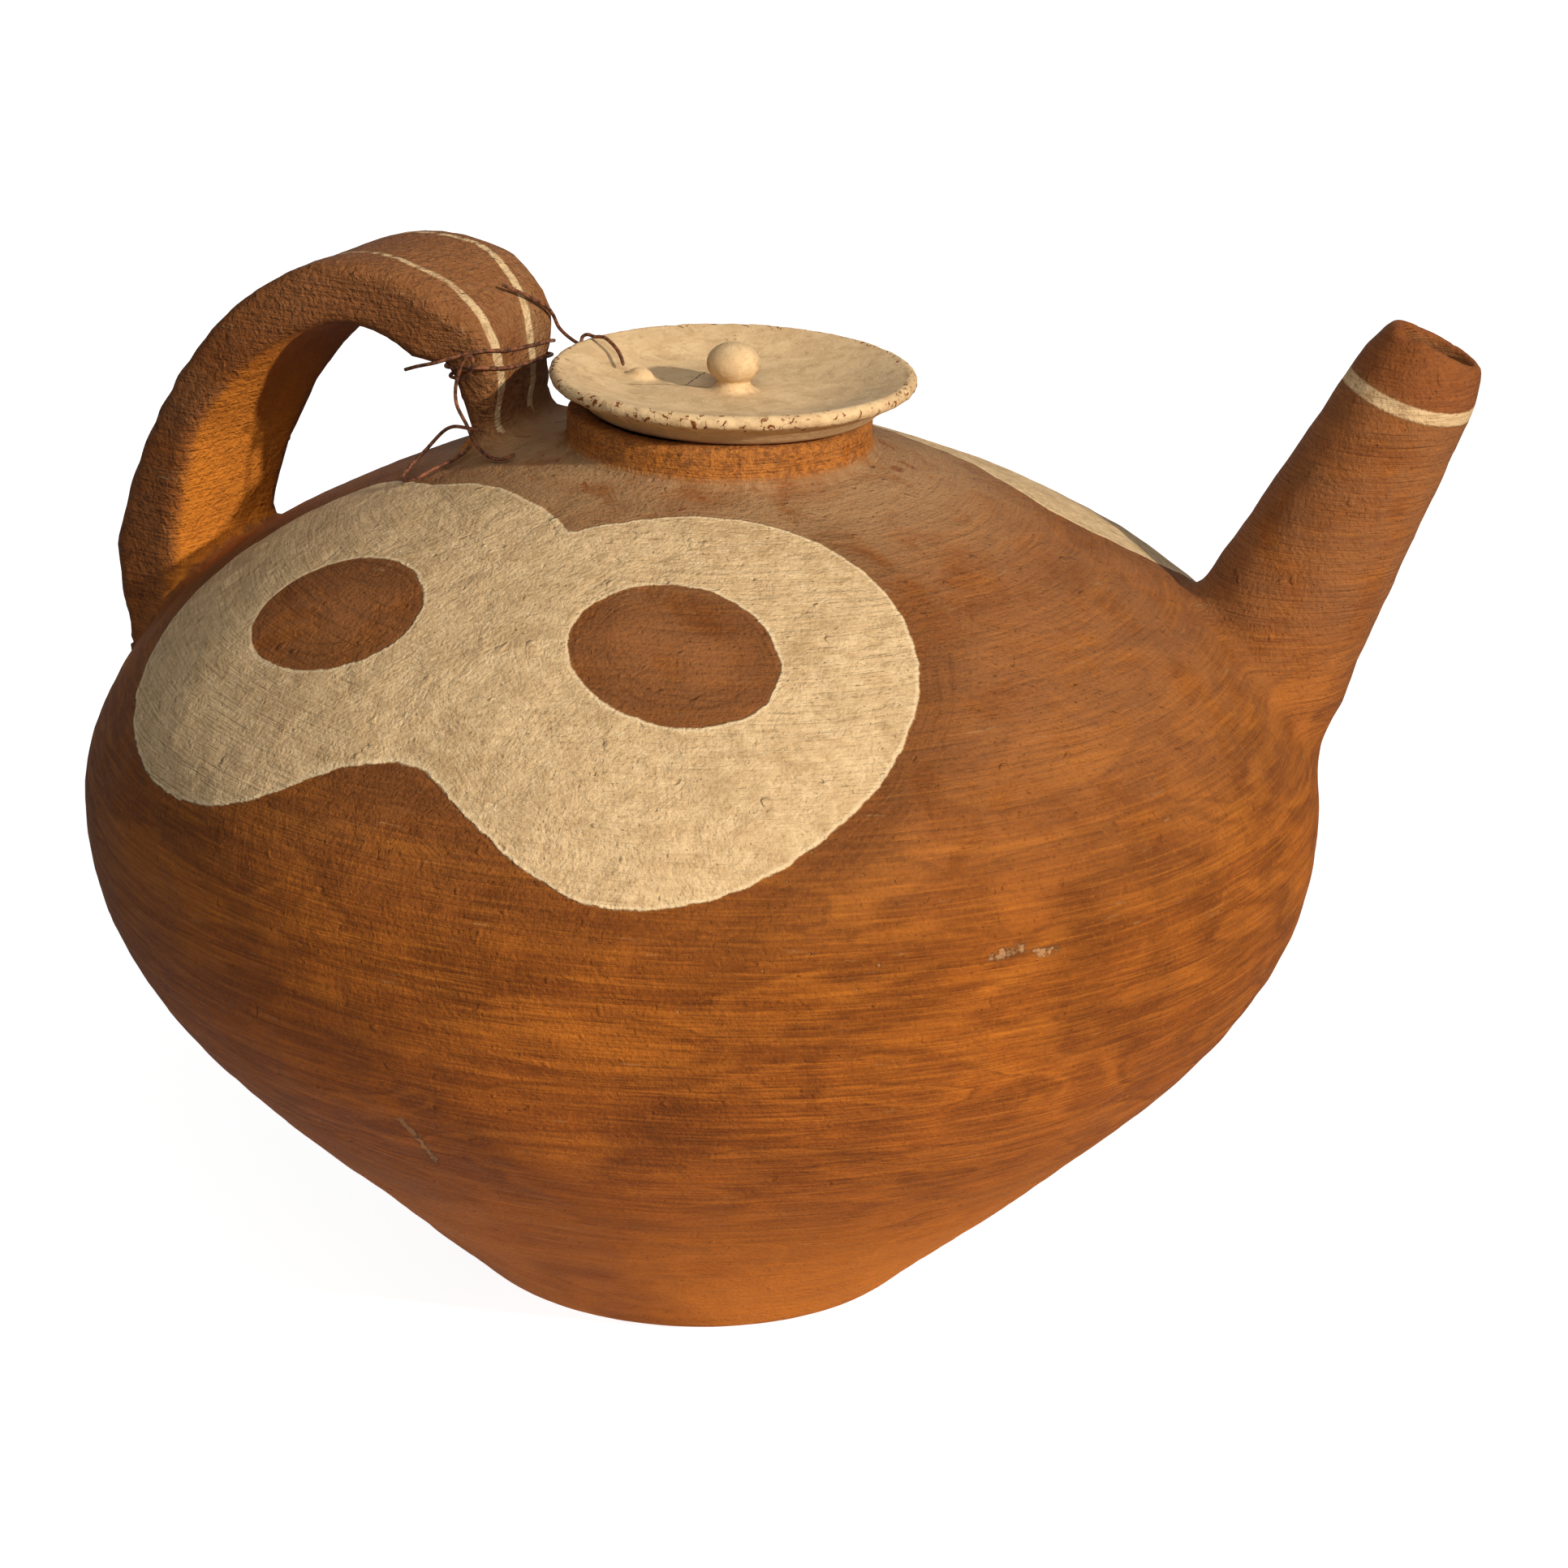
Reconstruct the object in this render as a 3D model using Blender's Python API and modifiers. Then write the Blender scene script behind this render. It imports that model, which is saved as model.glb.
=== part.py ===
"""Earthenware pot with a straight spout, a strap handle and a saucer lid tied on with wire.

Units are metres and +Z is up. The origin is the centre of the flat underside. The spout
points along +X, and the handle stands over the shoulder on the far left side of it.
"""
import math

import bmesh
import bpy
from mathutils import Matrix, Vector

# Room left between two pieces that touch
GAP = 0.0003

# Body, turned about the Z axis: radii and heights of its outer face
BELLY_RADIUS = 0.200
BELLY_HEIGHT = 0.163
FOOT_RADIUS = 0.0724
FOOT_EDGE_ROUNDING = 0.015
SHOULDER_HEIGHT = 0.2775
BODY_WALL = 0.009
FLOOR_THICKNESS = 0.011

# Fullness of the body's two arcs: each pull is a share of its arc's chord
FOOT_SLOPE = math.radians(42.0)
FOOT_PULL = 0.70
UNDER_BELLY_PULL = 0.225
OVER_BELLY_PULL = 0.345
NECK_PULL = 0.24
NECK_SLOPE = math.radians(13.0)

# Collar and mouth
COLLAR_RADIUS = 0.0492
COLLAR_HEIGHT = 0.0123
COLLAR_OFFSET = 0.0023
COLLAR_WALL = 0.0087
COLLAR_LIP_ROUNDING = 0.0028
COLLAR_ROOT_DEPTH = 0.006

# Spout: a straight tapered tube that leaves the shoulder leaning outwards
SPOUT_ROOT_HEIGHT = 0.2108
SPOUT_TILT = math.radians(25.4)
SPOUT_LENGTH = 0.1170
SPOUT_ROOT_RADIUS = 0.0296
SPOUT_NECK_RADIUS = 0.0215
SPOUT_MOUTH_RADIUS = 0.0166
SPOUT_NOSE_LENGTH = 0.0230
SPOUT_NOSE_BULGE = 0.0007
SPOUT_WALL = 0.0065
SPOUT_LIP_WALL = 0.0042
SPOUT_LIP_ROUNDING = 0.0014
SPOUT_FLARE = 0.0010
SPOUT_FLARE_LENGTH = 0.020
SPOUT_CHIP_RADIUS = 0.0050
SPOUT_CHIP_DIRECTION = math.radians(215.0)

# Handle: a strap in one upright plane through the pot's axis. Its centre line has two arcs
# that meet at the bend over the inner leg
HANDLE_DIRECTION = math.radians(158.0)
HANDLE_OUTER_REACH = 0.1895
HANDLE_OUTER_LEAN = math.radians(9.0)
HANDLE_INNER_REACH = 0.0740
HANDLE_BEND_REACH = 0.0878
HANDLE_BEND_HEIGHT = 0.3122
HANDLE_BEND_SLOPE = math.radians(25.0)
HANDLE_FOOT_SINK = 0.0070
HANDLE_OUTER_PULL = 0.205
HANDLE_CREST_PULL = 0.485
HANDLE_BEND_PULL = 0.36
HANDLE_INNER_PULL = 0.85

# The strap's section, from the outer foot to the inner one: it is hand formed, so it thins,
# widens and twists on its way
OUTER_FOOT_WIDTH = 0.0516
BEND_WIDTH = 0.0600
INNER_WAIST_WIDTH = 0.0480
INNER_LEG_WIDTH = 0.0550
INNER_FOOT_WIDTH = 0.0620
INNER_WAIST_SWAY = 0.0006
INNER_LEG_SWAY = 0.0085
INNER_FOOT_SWAY = 0.0130
OUTER_END_THICKNESS = 0.0100
OUTER_FOOT_THICKNESS = 0.0310
OUTER_LEG_THICKNESS = 0.0190
BEND_THICKNESS = 0.0270
INNER_LEG_THICKNESS = 0.0100
INNER_FOOT_THICKNESS = 0.0140
OUTER_FOOT_TWIST = math.radians(10.0)
OUTER_LEG_TWIST = math.radians(19.0)
BEND_TWIST = math.radians(-6.0)
INNER_LEG_TWIST = math.radians(3.0)
STRAP_CORNER_POWER = 3.4

# Places along the strap where its section is set, as shares of each of its two arcs
OUTER_FOOT_SHARE = 0.15
OUTER_LEG_SHARE = 0.42
INNER_WAIST_SHARE = 0.45
INNER_LEG_SHARE = 0.75

# Lid: a saucer with a ball knob and a nub that takes the wire
LID_OVERHANG = 0.0093
LID_OFFSET = 0.0062
LID_FOOT_INSET = 0.0030
LID_HEIGHT = 0.0122
LID_LIP_THICKNESS = 0.0050
LID_FLOOR_THICKNESS = 0.0055
LID_FLOOR_RADIUS = 0.0270
LID_UNDERCUT_REACH = 0.0075
LID_UNDERCUT_HEIGHT = 0.0046
LID_LIP_START = 125.0
LID_LIP_END = -50.0
KNOB_RADIUS = 0.0087
KNOB_NECK_RADIUS = 0.0054
KNOB_HEIGHT = 0.0150
KNOB_BALL_HEIGHT = 0.0134
KNOB_FOOT_FLARE = 0.0032
NUB_REACH = 0.0312
NUB_DIRECTION = math.radians(161.0)
NUB_LENGTH = 0.0090
NUB_WIDTH = 0.0060
NUB_HEIGHT = 0.0032

# Tie wire
WIRE_DIAMETER = 0.0013
WINDING_TURNS = 2
WINDING_DROP = 0.0087
WINDING_PITCH = 0.0042
WINDING_TILT = 0.0055
WINDING_SLACK = 0.0006

# Tether: drops below the handle's bend, turns over the lid's lip, then places over the dish as
# distance from the lid's centre and height above it
TETHER_DROPS = (0.0035, 0.0080, 0.0120)
TETHER_RIM_DIRECTION = math.radians(146.0)
TETHER_RIM_TURNS = (0.0, 40.0, 80.0, 120.0)
TETHER_OVER_RISE = (0.0499, 0.0031)
TETHER_OVER_DISH = (0.0425, 0.0021)
TETHER_STEP = math.radians(4.0)

# How finely the round shapes are divided
BODY_STEPS = 48
BODY_ARC_POINTS = 11
HOLLOW_STEPS = 28
COLLAR_STEPS = 40
SPOUT_STEPS = 28
LID_STEPS = 36
EDGE_POINTS = 4
SPOUT_LIP_POINTS = 3
SPOUT_FLARE_POINTS = 5
LID_LIP_POINTS = 7
KNOB_POINTS = 9
STRAP_STATIONS = 28
STRAP_SECTION_POINTS = 16
WIRE_SPAN_POINTS = 2
WIRE_ROUND_POINTS = 2

# Heights and radii that follow from the sizes above
COLLAR_TOP = SHOULDER_HEIGHT + COLLAR_HEIGHT
MOUTH_RADIUS = COLLAR_RADIUS - COLLAR_WALL
LID_BOTTOM = COLLAR_TOP + GAP
LID_RADIUS = COLLAR_RADIUS + LID_OVERHANG
LID_FOOT_RADIUS = COLLAR_RADIUS - LID_FOOT_INSET
LID_TOP = LID_BOTTOM + LID_HEIGHT
LID_FLOOR = LID_BOTTOM + LID_FLOOR_THICKNESS
WINDING_HEIGHT = HANDLE_BEND_HEIGHT - WINDING_DROP
LID_CENTRE = Vector((LID_OFFSET, 0.0, 0.0))
COLLAR_CENTRE = Vector((COLLAR_OFFSET, 0.0, 0.0))
WIRE_CLEARANCE = WIRE_DIAMETER / 2 + GAP

# Length by which a cutter runs past the face that it cuts
CUT_MARGIN = 0.004


def make_collection(name):
    """Add a collection to the scene and give it back."""
    collection = bpy.data.collections.new(name)
    bpy.context.scene.collection.children.link(collection)
    return collection


def make_material(name, colour, roughness, metallic=0.0):
    """Plain Principled material from a linear colour."""
    material = bpy.data.materials.new(name)
    material.use_nodes = True
    shader = material.node_tree.nodes["Principled BSDF"]
    shader.inputs["Base Color"].default_value = (*colour, 1.0)
    shader.inputs["Roughness"].default_value = roughness
    shader.inputs["Metallic"].default_value = metallic
    return material


def bezier(start, start_pull, end_pull, end, count):
    """Points of a cubic arc, both ends included."""
    points = []
    for i in range(count):
        t = i / (count - 1)
        s = 1.0 - t
        points.append(s ** 3 * start + 3 * s * s * t * start_pull
                      + 3 * s * t * t * end_pull + t ** 3 * end)
    return points


def arc(centre, radius, start, end, count):
    """Points of a circular arc in the (radius, height) plane, angles in degrees."""
    points = []
    for i in range(count):
        angle = math.radians(start + (end - start) * i / (count - 1))
        points.append(centre + radius * Vector((math.cos(angle), math.sin(angle))))
    return points


def offset_inwards(points, distance):
    """Move an open outline, drawn from foot to neck, square to itself towards the axis."""
    moved = []
    for i, point in enumerate(points):
        ahead = points[min(i + 1, len(points) - 1)]
        behind = points[max(i - 1, 0)]
        along = (ahead - behind).normalized()
        moved.append(point + distance * Vector((-along.y, along.x)))
    return moved


def shoulder_arc(count):
    """Outer face of the wall from the belly up to the collar, as (radius, height)."""
    belly = Vector((BELLY_RADIUS, BELLY_HEIGHT))
    neck = Vector((COLLAR_RADIUS, SHOULDER_HEIGHT))
    chord = (neck - belly).length
    rise = Vector((0.0, OVER_BELLY_PULL * chord))
    fall = NECK_PULL * chord * Vector((math.cos(NECK_SLOPE), -math.sin(NECK_SLOPE)))
    return bezier(belly, belly + rise, neck + fall, neck, count)


def lower_arc(count):
    """Outer face of the wall from the foot up to the belly, as (radius, height)."""
    foot = Vector((FOOT_RADIUS, 0.0))
    belly = Vector((BELLY_RADIUS, BELLY_HEIGHT))
    chord = (belly - foot).length
    spread = FOOT_PULL * chord * Vector((math.cos(FOOT_SLOPE), math.sin(FOOT_SLOPE)))
    drop = Vector((0.0, UNDER_BELLY_PULL * chord))
    return bezier(foot, foot + spread, belly - drop, belly, count)


def wall_outline():
    """Outer face of the whole wall, from the foot up to the collar."""
    return lower_arc(BODY_ARC_POINTS) + shoulder_arc(BODY_ARC_POINTS)[1:]


def interpolate(points, known, wanted, value):
    """Read one coordinate of a line of points where the other has a given value."""
    for a, b in zip(points, points[1:]):
        low, high = sorted((a[known], b[known]))
        if low <= value <= high and high > low:
            share = (value - a[known]) / (b[known] - a[known])
            return a[wanted] + share * (b[wanted] - a[wanted])
    nearest = min(points, key=lambda p: abs(p[known] - value))
    return nearest[wanted]


def shoulder_height_at(radius):
    """Height of the outer shoulder at a distance from the axis."""
    return interpolate(shoulder_arc(BODY_ARC_POINTS), 0, 1, radius)


def shoulder_radius_at(height):
    """Distance of the outer shoulder from the axis at a height."""
    return interpolate(shoulder_arc(BODY_ARC_POINTS), 1, 0, height)


def turned(name, profile, steps, collection, start=0.0):
    """Solid turned about Z from (radius, height) points given from the top down."""
    mesh = bpy.data.meshes.new(name)
    ahead = Vector((math.cos(start), math.sin(start), 0.0))
    verts = [ahead * point.x + Vector((0.0, 0.0, point.y)) for point in profile]
    edges = [(i, i + 1) for i in range(len(profile) - 1)]
    mesh.from_pydata(verts, edges, [])
    solid = bpy.data.objects.new(name, mesh)
    collection.objects.link(solid)
    screw = solid.modifiers.new("turn", "SCREW")
    screw.steps = steps
    screw.render_steps = steps
    screw.use_merge_vertices = True
    screw.merge_threshold = 0.00001
    screw.use_smooth_shade = True
    return solid


def as_cutter(solid):
    """Show a helper solid as wire and keep it out of the render."""
    solid.hide_render = True
    solid.display_type = "WIRE"
    return solid


def add_boolean(solid, other, operation):
    """Join or cut a solid with another, exactly."""
    modifier = solid.modifiers.new(operation.lower() + "_" + other.name, "BOOLEAN")
    modifier.operation = operation
    modifier.solver = "EXACT"
    modifier.object = other


def foot_fillet():
    """Rounded edge between the flat underside and the wall, from the wall down."""
    outline = lower_arc(BODY_ARC_POINTS)
    reach = FOOT_EDGE_ROUNDING * math.tan(FOOT_SLOPE / 2)
    centre = Vector((FOOT_RADIUS - reach, FOOT_EDGE_ROUNDING))
    wall_end = math.degrees(FOOT_SLOPE) - 90.0
    rounded = arc(centre, FOOT_EDGE_ROUNDING, wall_end, -90.0, EDGE_POINTS)
    height_of_fillet = rounded[0].y
    upper = [point for point in outline if point.y > height_of_fillet + GAP]
    return list(reversed(upper)) + rounded


def make_body(collection):
    """Body without its hollow: shoulder, belly and foot, closed under the collar."""
    shoulder = shoulder_arc(BODY_ARC_POINTS)[1:]
    crown = Vector((0.0, SHOULDER_HEIGHT))
    underside = Vector((0.0, 0.0))
    profile = [crown] + list(reversed(shoulder)) + foot_fillet() + [underside]
    return turned("pot", profile, BODY_STEPS, collection)


def make_hollow(collection):
    """Space inside the body, one wall in from the outer face, with a flat floor."""
    inner = offset_inwards(wall_outline(), BODY_WALL)
    floor_radius = interpolate(inner, 1, 0, FLOOR_THICKNESS)
    wall = [point for point in inner if point.y > FLOOR_THICKNESS + BODY_WALL / 2]
    crown = Vector((0.0, wall[-1].y))
    corner = Vector((floor_radius, FLOOR_THICKNESS))
    floor = Vector((0.0, FLOOR_THICKNESS))
    profile = [crown] + list(reversed(wall)) + [corner, floor]
    return as_cutter(turned("hollow", profile, HOLLOW_STEPS, collection))


def make_collar(collection):
    """Low ring round the mouth, with a rounded outer lip."""
    lip_centre = Vector((COLLAR_RADIUS - COLLAR_LIP_ROUNDING, COLLAR_TOP - COLLAR_LIP_ROUNDING))
    lip = arc(lip_centre, COLLAR_LIP_ROUNDING, 90.0, 0.0, EDGE_POINTS)
    foot = SHOULDER_HEIGHT - COLLAR_ROOT_DEPTH
    profile = [Vector((0.0, COLLAR_TOP))] + lip
    profile += [Vector((COLLAR_RADIUS, foot)), Vector((0.0, foot))]
    collar = turned("collar", profile, COLLAR_STEPS, collection)
    collar.location = COLLAR_CENTRE
    return as_cutter(collar)


def make_mouth(collection):
    """Cutter for the mouth: a round bore through collar and shoulder with an eased edge."""
    ease = COLLAR_LIP_ROUNDING
    edge_centre = Vector((MOUTH_RADIUS + ease, COLLAR_TOP - ease))
    edge = arc(edge_centre, ease, 90.0, 180.0, EDGE_POINTS)
    top = COLLAR_TOP + CUT_MARGIN
    bottom = SHOULDER_HEIGHT - BODY_WALL - CUT_MARGIN
    profile = [Vector((0.0, top)), Vector((MOUTH_RADIUS + ease, top))] + edge
    profile += [Vector((MOUTH_RADIUS, bottom)), Vector((0.0, bottom))]
    mouth = turned("mouth", profile, COLLAR_STEPS, collection)
    mouth.location = COLLAR_CENTRE
    return as_cutter(mouth)


def spout_root():
    """Point where the spout's centre line leaves the shoulder."""
    return Vector((shoulder_radius_at(SPOUT_ROOT_HEIGHT), 0.0, SPOUT_ROOT_HEIGHT))


def spout_depth(radius):
    """How far a tube of the given radius runs back from the root to clear the wall."""
    root = spout_root()
    above = shoulder_radius_at(SPOUT_ROOT_HEIGHT + BODY_WALL)
    face = Vector((above - root.x, BODY_WALL)).normalized()
    outwards = Vector((face.y, -face.x))
    axis = Vector((math.sin(SPOUT_TILT), math.cos(SPOUT_TILT)))
    square = outwards.dot(axis)
    skew = math.sqrt(1.0 - square * square) / square
    return BODY_WALL / square + radius * skew


def place_on_spout(solid):
    """Stand a solid made along Z on the spout's centre line, at its root."""
    solid.rotation_euler = (0.0, SPOUT_TILT, 0.0)
    solid.location = spout_root()
    return as_cutter(solid)


def make_spout(collection):
    """Outer solid of the spout, from its rounded lip down into the shoulder's wall."""
    lip_centre = Vector((SPOUT_MOUTH_RADIUS - SPOUT_LIP_ROUNDING, SPOUT_LENGTH - SPOUT_LIP_ROUNDING))
    lip = arc(lip_centre, SPOUT_LIP_ROUNDING, 90.0, 0.0, SPOUT_LIP_POINTS)
    neck_length = SPOUT_LENGTH - SPOUT_NOSE_LENGTH
    buried = spout_depth(SPOUT_ROOT_RADIUS)
    profile = [Vector((0.0, SPOUT_LENGTH))] + lip
    nose_middle = (SPOUT_NECK_RADIUS + SPOUT_MOUTH_RADIUS) / 2 + SPOUT_NOSE_BULGE
    profile.append(Vector((nose_middle, SPOUT_LENGTH - SPOUT_NOSE_LENGTH / 2)))
    profile.append(Vector((SPOUT_NECK_RADIUS, neck_length)))
    for i in range(SPOUT_FLARE_POINTS + 1):
        share = i / SPOUT_FLARE_POINTS
        length = SPOUT_FLARE_LENGTH * (1.0 - share)
        slope = (SPOUT_NECK_RADIUS - SPOUT_ROOT_RADIUS) / neck_length
        radius = SPOUT_ROOT_RADIUS + slope * length + SPOUT_FLARE * share ** 3
        profile.append(Vector((radius, length)))
    profile.append(Vector((SPOUT_ROOT_RADIUS + SPOUT_FLARE, -buried)))
    profile.append(Vector((0.0, -buried)))
    return place_on_spout(turned("spout", profile, SPOUT_STEPS, collection))


def make_spout_bore(collection):
    """Tapered bore from beyond the spout's mouth into the hollow of the body."""
    mouth_bore = SPOUT_MOUTH_RADIUS - SPOUT_LIP_WALL
    neck_bore = SPOUT_NECK_RADIUS - SPOUT_WALL
    root_bore = SPOUT_ROOT_RADIUS - SPOUT_WALL
    depth = spout_depth(root_bore) + CUT_MARGIN
    profile = [
        Vector((0.0, SPOUT_LENGTH + CUT_MARGIN)),
        Vector((mouth_bore, SPOUT_LENGTH + CUT_MARGIN)),
        Vector((mouth_bore, SPOUT_LENGTH - SPOUT_LIP_ROUNDING)),
        Vector((neck_bore, SPOUT_LENGTH - SPOUT_NOSE_LENGTH)),
        Vector((root_bore, 0.0)),
        Vector((root_bore, -depth)),
        Vector((0.0, -depth)),
    ]
    half_step = math.pi / SPOUT_STEPS
    return place_on_spout(turned("spout_bore", profile, SPOUT_STEPS, collection, half_step))


def make_spout_chip(collection):
    """Cutter for the old chip in the spout's lip, a shallow bite on its near side."""
    mesh = bpy.data.meshes.new("spout_chip")
    bm = bmesh.new()
    bmesh.ops.create_icosphere(bm, subdivisions=2, radius=SPOUT_CHIP_RADIUS)
    out = Vector((math.cos(SPOUT_CHIP_DIRECTION), math.sin(SPOUT_CHIP_DIRECTION), 0.0))
    centre = SPOUT_MOUTH_RADIUS * out + Vector((0.0, 0.0, SPOUT_LENGTH + SPOUT_CHIP_RADIUS / 2))
    bmesh.ops.translate(bm, verts=bm.verts, vec=centre)
    bm.to_mesh(mesh)
    bm.free()
    chip = bpy.data.objects.new("spout_chip", mesh)
    collection.objects.link(chip)
    return place_on_spout(chip)


def handle_frame():
    """Outward and sideways directions of the handle's plane; sideways is the near edge."""
    outward = Vector((math.cos(HANDLE_DIRECTION), math.sin(HANDLE_DIRECTION), 0.0))
    sideways = Vector((outward.y * -1.0, outward.x, 0.0))
    return outward, sideways


def handle_line():
    """Centre line of the strap as (reach, height), from the outer foot to the inner one."""
    outer_height = shoulder_height_at(HANDLE_OUTER_REACH) - HANDLE_FOOT_SINK
    inner_height = shoulder_height_at(HANDLE_INNER_REACH) - BODY_WALL
    outer = Vector((HANDLE_OUTER_REACH, outer_height))
    inner = Vector((HANDLE_INNER_REACH, inner_height))
    bend = Vector((HANDLE_BEND_REACH, HANDLE_BEND_HEIGHT))
    onward = Vector((-math.cos(HANDLE_BEND_SLOPE), -math.sin(HANDLE_BEND_SLOPE)))
    outer_chord = (bend - outer).length
    inner_chord = (inner - bend).length
    half = STRAP_STATIONS // 2 + 1
    upward = Vector((math.sin(HANDLE_OUTER_LEAN), math.cos(HANDLE_OUTER_LEAN)))
    crest = bezier(outer, outer + HANDLE_OUTER_PULL * outer_chord * upward,
                   bend - HANDLE_CREST_PULL * outer_chord * onward, bend, half)
    leg = bezier(bend, bend + HANDLE_BEND_PULL * inner_chord * onward,
                 inner + Vector((0.0, HANDLE_INNER_PULL * inner_chord)), inner, half)
    return crest + leg[1:]


def blend(keys, at):
    """Value at a place, read on straight lines between (place, value) keys in rising order."""
    for (low, before), (high, after) in zip(keys, keys[1:]):
        if at <= high:
            share = min(max((at - low) / (high - low), 0.0), 1.0)
            return before + (after - before) * share
    return keys[-1][1]


def strap_stations():
    """Centre, outward normal, width, thickness, twist and sway along the strap."""
    line = handle_line()
    lengths = [0.0]
    for a, b in zip(line, line[1:]):
        lengths.append(lengths[-1] + (b - a).length)
    total = lengths[-1]
    bend = lengths[STRAP_STATIONS // 2]
    foot = OUTER_FOOT_SHARE * bend
    leg = OUTER_LEG_SHARE * bend
    waist = bend + INNER_WAIST_SHARE * (total - bend)
    inner = bend + INNER_LEG_SHARE * (total - bend)
    widths = [(0.0, OUTER_FOOT_WIDTH), (bend, BEND_WIDTH), (waist, INNER_WAIST_WIDTH),
              (inner, INNER_LEG_WIDTH), (total, INNER_FOOT_WIDTH)]
    sways = [(0.0, 0.0), (bend, 0.0), (waist, INNER_WAIST_SWAY), (inner, INNER_LEG_SWAY),
             (total, INNER_FOOT_SWAY)]
    thicknesses = [(0.0, OUTER_END_THICKNESS), (foot, OUTER_FOOT_THICKNESS),
                   (leg, OUTER_LEG_THICKNESS), (bend, BEND_THICKNESS),
                   (inner, INNER_LEG_THICKNESS), (total, INNER_FOOT_THICKNESS)]
    twists = [(0.0, OUTER_FOOT_TWIST), (leg, OUTER_LEG_TWIST), (bend, BEND_TWIST),
              (inner, INNER_LEG_TWIST), (total, INNER_LEG_TWIST)]
    stations = []
    for i, point in enumerate(line):
        ahead = line[min(i + 1, len(line) - 1)]
        behind = line[max(i - 1, 0)]
        along = (ahead - behind).normalized()
        normal = Vector((along.y, -along.x))
        at = lengths[i]
        stations.append((point, normal, blend(widths, at), blend(thicknesses, at),
                         blend(twists, at), blend(sways, at)))
    return stations


def strap_point(station, angle, clearance):
    """Point of the strap's rounded section; angle 0 is the near edge, 90 the outer face."""
    outward, sideways = handle_frame()
    point, normal, width, thickness, twist, sway = station
    power = 2.0 / STRAP_CORNER_POWER
    across = math.copysign(abs(math.cos(angle)) ** power, math.cos(angle))
    proud = math.copysign(abs(math.sin(angle)) ** power, math.sin(angle))
    centre = outward * point.x + Vector((0.0, 0.0, point.y)) - sway * sideways
    face = outward * normal.x + Vector((0.0, 0.0, normal.y))
    edge_way = math.cos(twist) * sideways + math.sin(twist) * face
    face_way = math.cos(twist) * face - math.sin(twist) * sideways
    return (centre + edge_way * (width / 2 + clearance) * across
            + face_way * (thickness / 2 + clearance) * proud)


def section_angles():
    """Angles round the strap's section, shared by the strap and its winding."""
    return [2.0 * math.pi * i / STRAP_SECTION_POINTS for i in range(STRAP_SECTION_POINTS)]


def make_handle(collection):
    """Strap handle, lofted through its sections."""
    bm = bmesh.new()
    rings = []
    for station in strap_stations():
        ring = [bm.verts.new(strap_point(station, angle, 0.0)) for angle in section_angles()]
        rings.append(ring)
    count = STRAP_SECTION_POINTS
    for a, b in zip(rings, rings[1:]):
        for i in range(count):
            j = (i + 1) % count
            bm.faces.new((a[i], a[j], b[j], b[i]))
    bm.faces.new(rings[0])
    bm.faces.new(rings[-1])
    bmesh.ops.recalc_face_normals(bm, faces=bm.faces)
    for face in bm.faces:
        face.smooth = True
    mesh = bpy.data.meshes.new("handle")
    bm.to_mesh(mesh)
    bm.free()
    handle = bpy.data.objects.new("handle", mesh)
    collection.objects.link(handle)
    return as_cutter(handle)


def make_pot(parts, cutters, clay):
    """Fired clay pot: body, collar, spout and handle joined, then hollowed and bored."""
    pot = make_body(parts)
    for joined in (make_collar(cutters), make_spout(cutters), make_handle(cutters)):
        add_boolean(pot, joined, "UNION")
    for cut in (make_hollow(cutters), make_mouth(cutters), make_spout_bore(cutters),
                make_spout_chip(cutters)):
        add_boolean(pot, cut, "DIFFERENCE")
    pot.data.materials.append(clay)
    return pot


def lid_profile():
    """Lid from the top of the knob, over the dish and the lip, to the flat underside."""
    knob_top = LID_FLOOR + KNOB_HEIGHT
    equator = knob_top - KNOB_BALL_HEIGHT / 2
    neck_angle = -math.degrees(math.acos(KNOB_NECK_RADIUS / KNOB_RADIUS))
    points = []
    for unit in arc(Vector((0.0, 0.0)), 1.0, 90.0, neck_angle, KNOB_POINTS):
        points.append(Vector((KNOB_RADIUS * unit.x, equator + KNOB_BALL_HEIGHT / 2 * unit.y)))
    flare = KNOB_FOOT_FLARE
    foot_centre = Vector((KNOB_NECK_RADIUS + flare, LID_FLOOR + flare))
    points += [point for point in arc(foot_centre, flare, 180.0, 270.0, EDGE_POINTS)
               if point.y < points[-1].y]
    lip = LID_LIP_THICKNESS / 2
    lip_centre = Vector((LID_RADIUS - lip, LID_TOP - lip))
    points.append(Vector((LID_FLOOR_RADIUS, LID_FLOOR)))
    points += arc(lip_centre, lip, LID_LIP_START, LID_LIP_END, LID_LIP_POINTS)
    points.append(Vector((LID_RADIUS - LID_UNDERCUT_REACH, LID_BOTTOM + LID_UNDERCUT_HEIGHT)))
    points.append(Vector((LID_FOOT_RADIUS, LID_BOTTOM + GAP)))
    points.append(Vector((LID_FOOT_RADIUS - 2 * GAP, LID_BOTTOM)))
    points.append(Vector((0.0, LID_BOTTOM)))
    return points


def over_lid(reach, direction, above):
    """Point over the dish or the lip of the lid, at a distance from the lid's centre."""
    out = Vector((math.cos(direction), math.sin(direction), 0.0))
    dish = [point for point in lid_profile() if point.x >= LID_FLOOR_RADIUS]
    height = interpolate(dish, 0, 1, reach)
    return LID_CENTRE + reach * out + Vector((0.0, 0.0, height + above))


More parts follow.
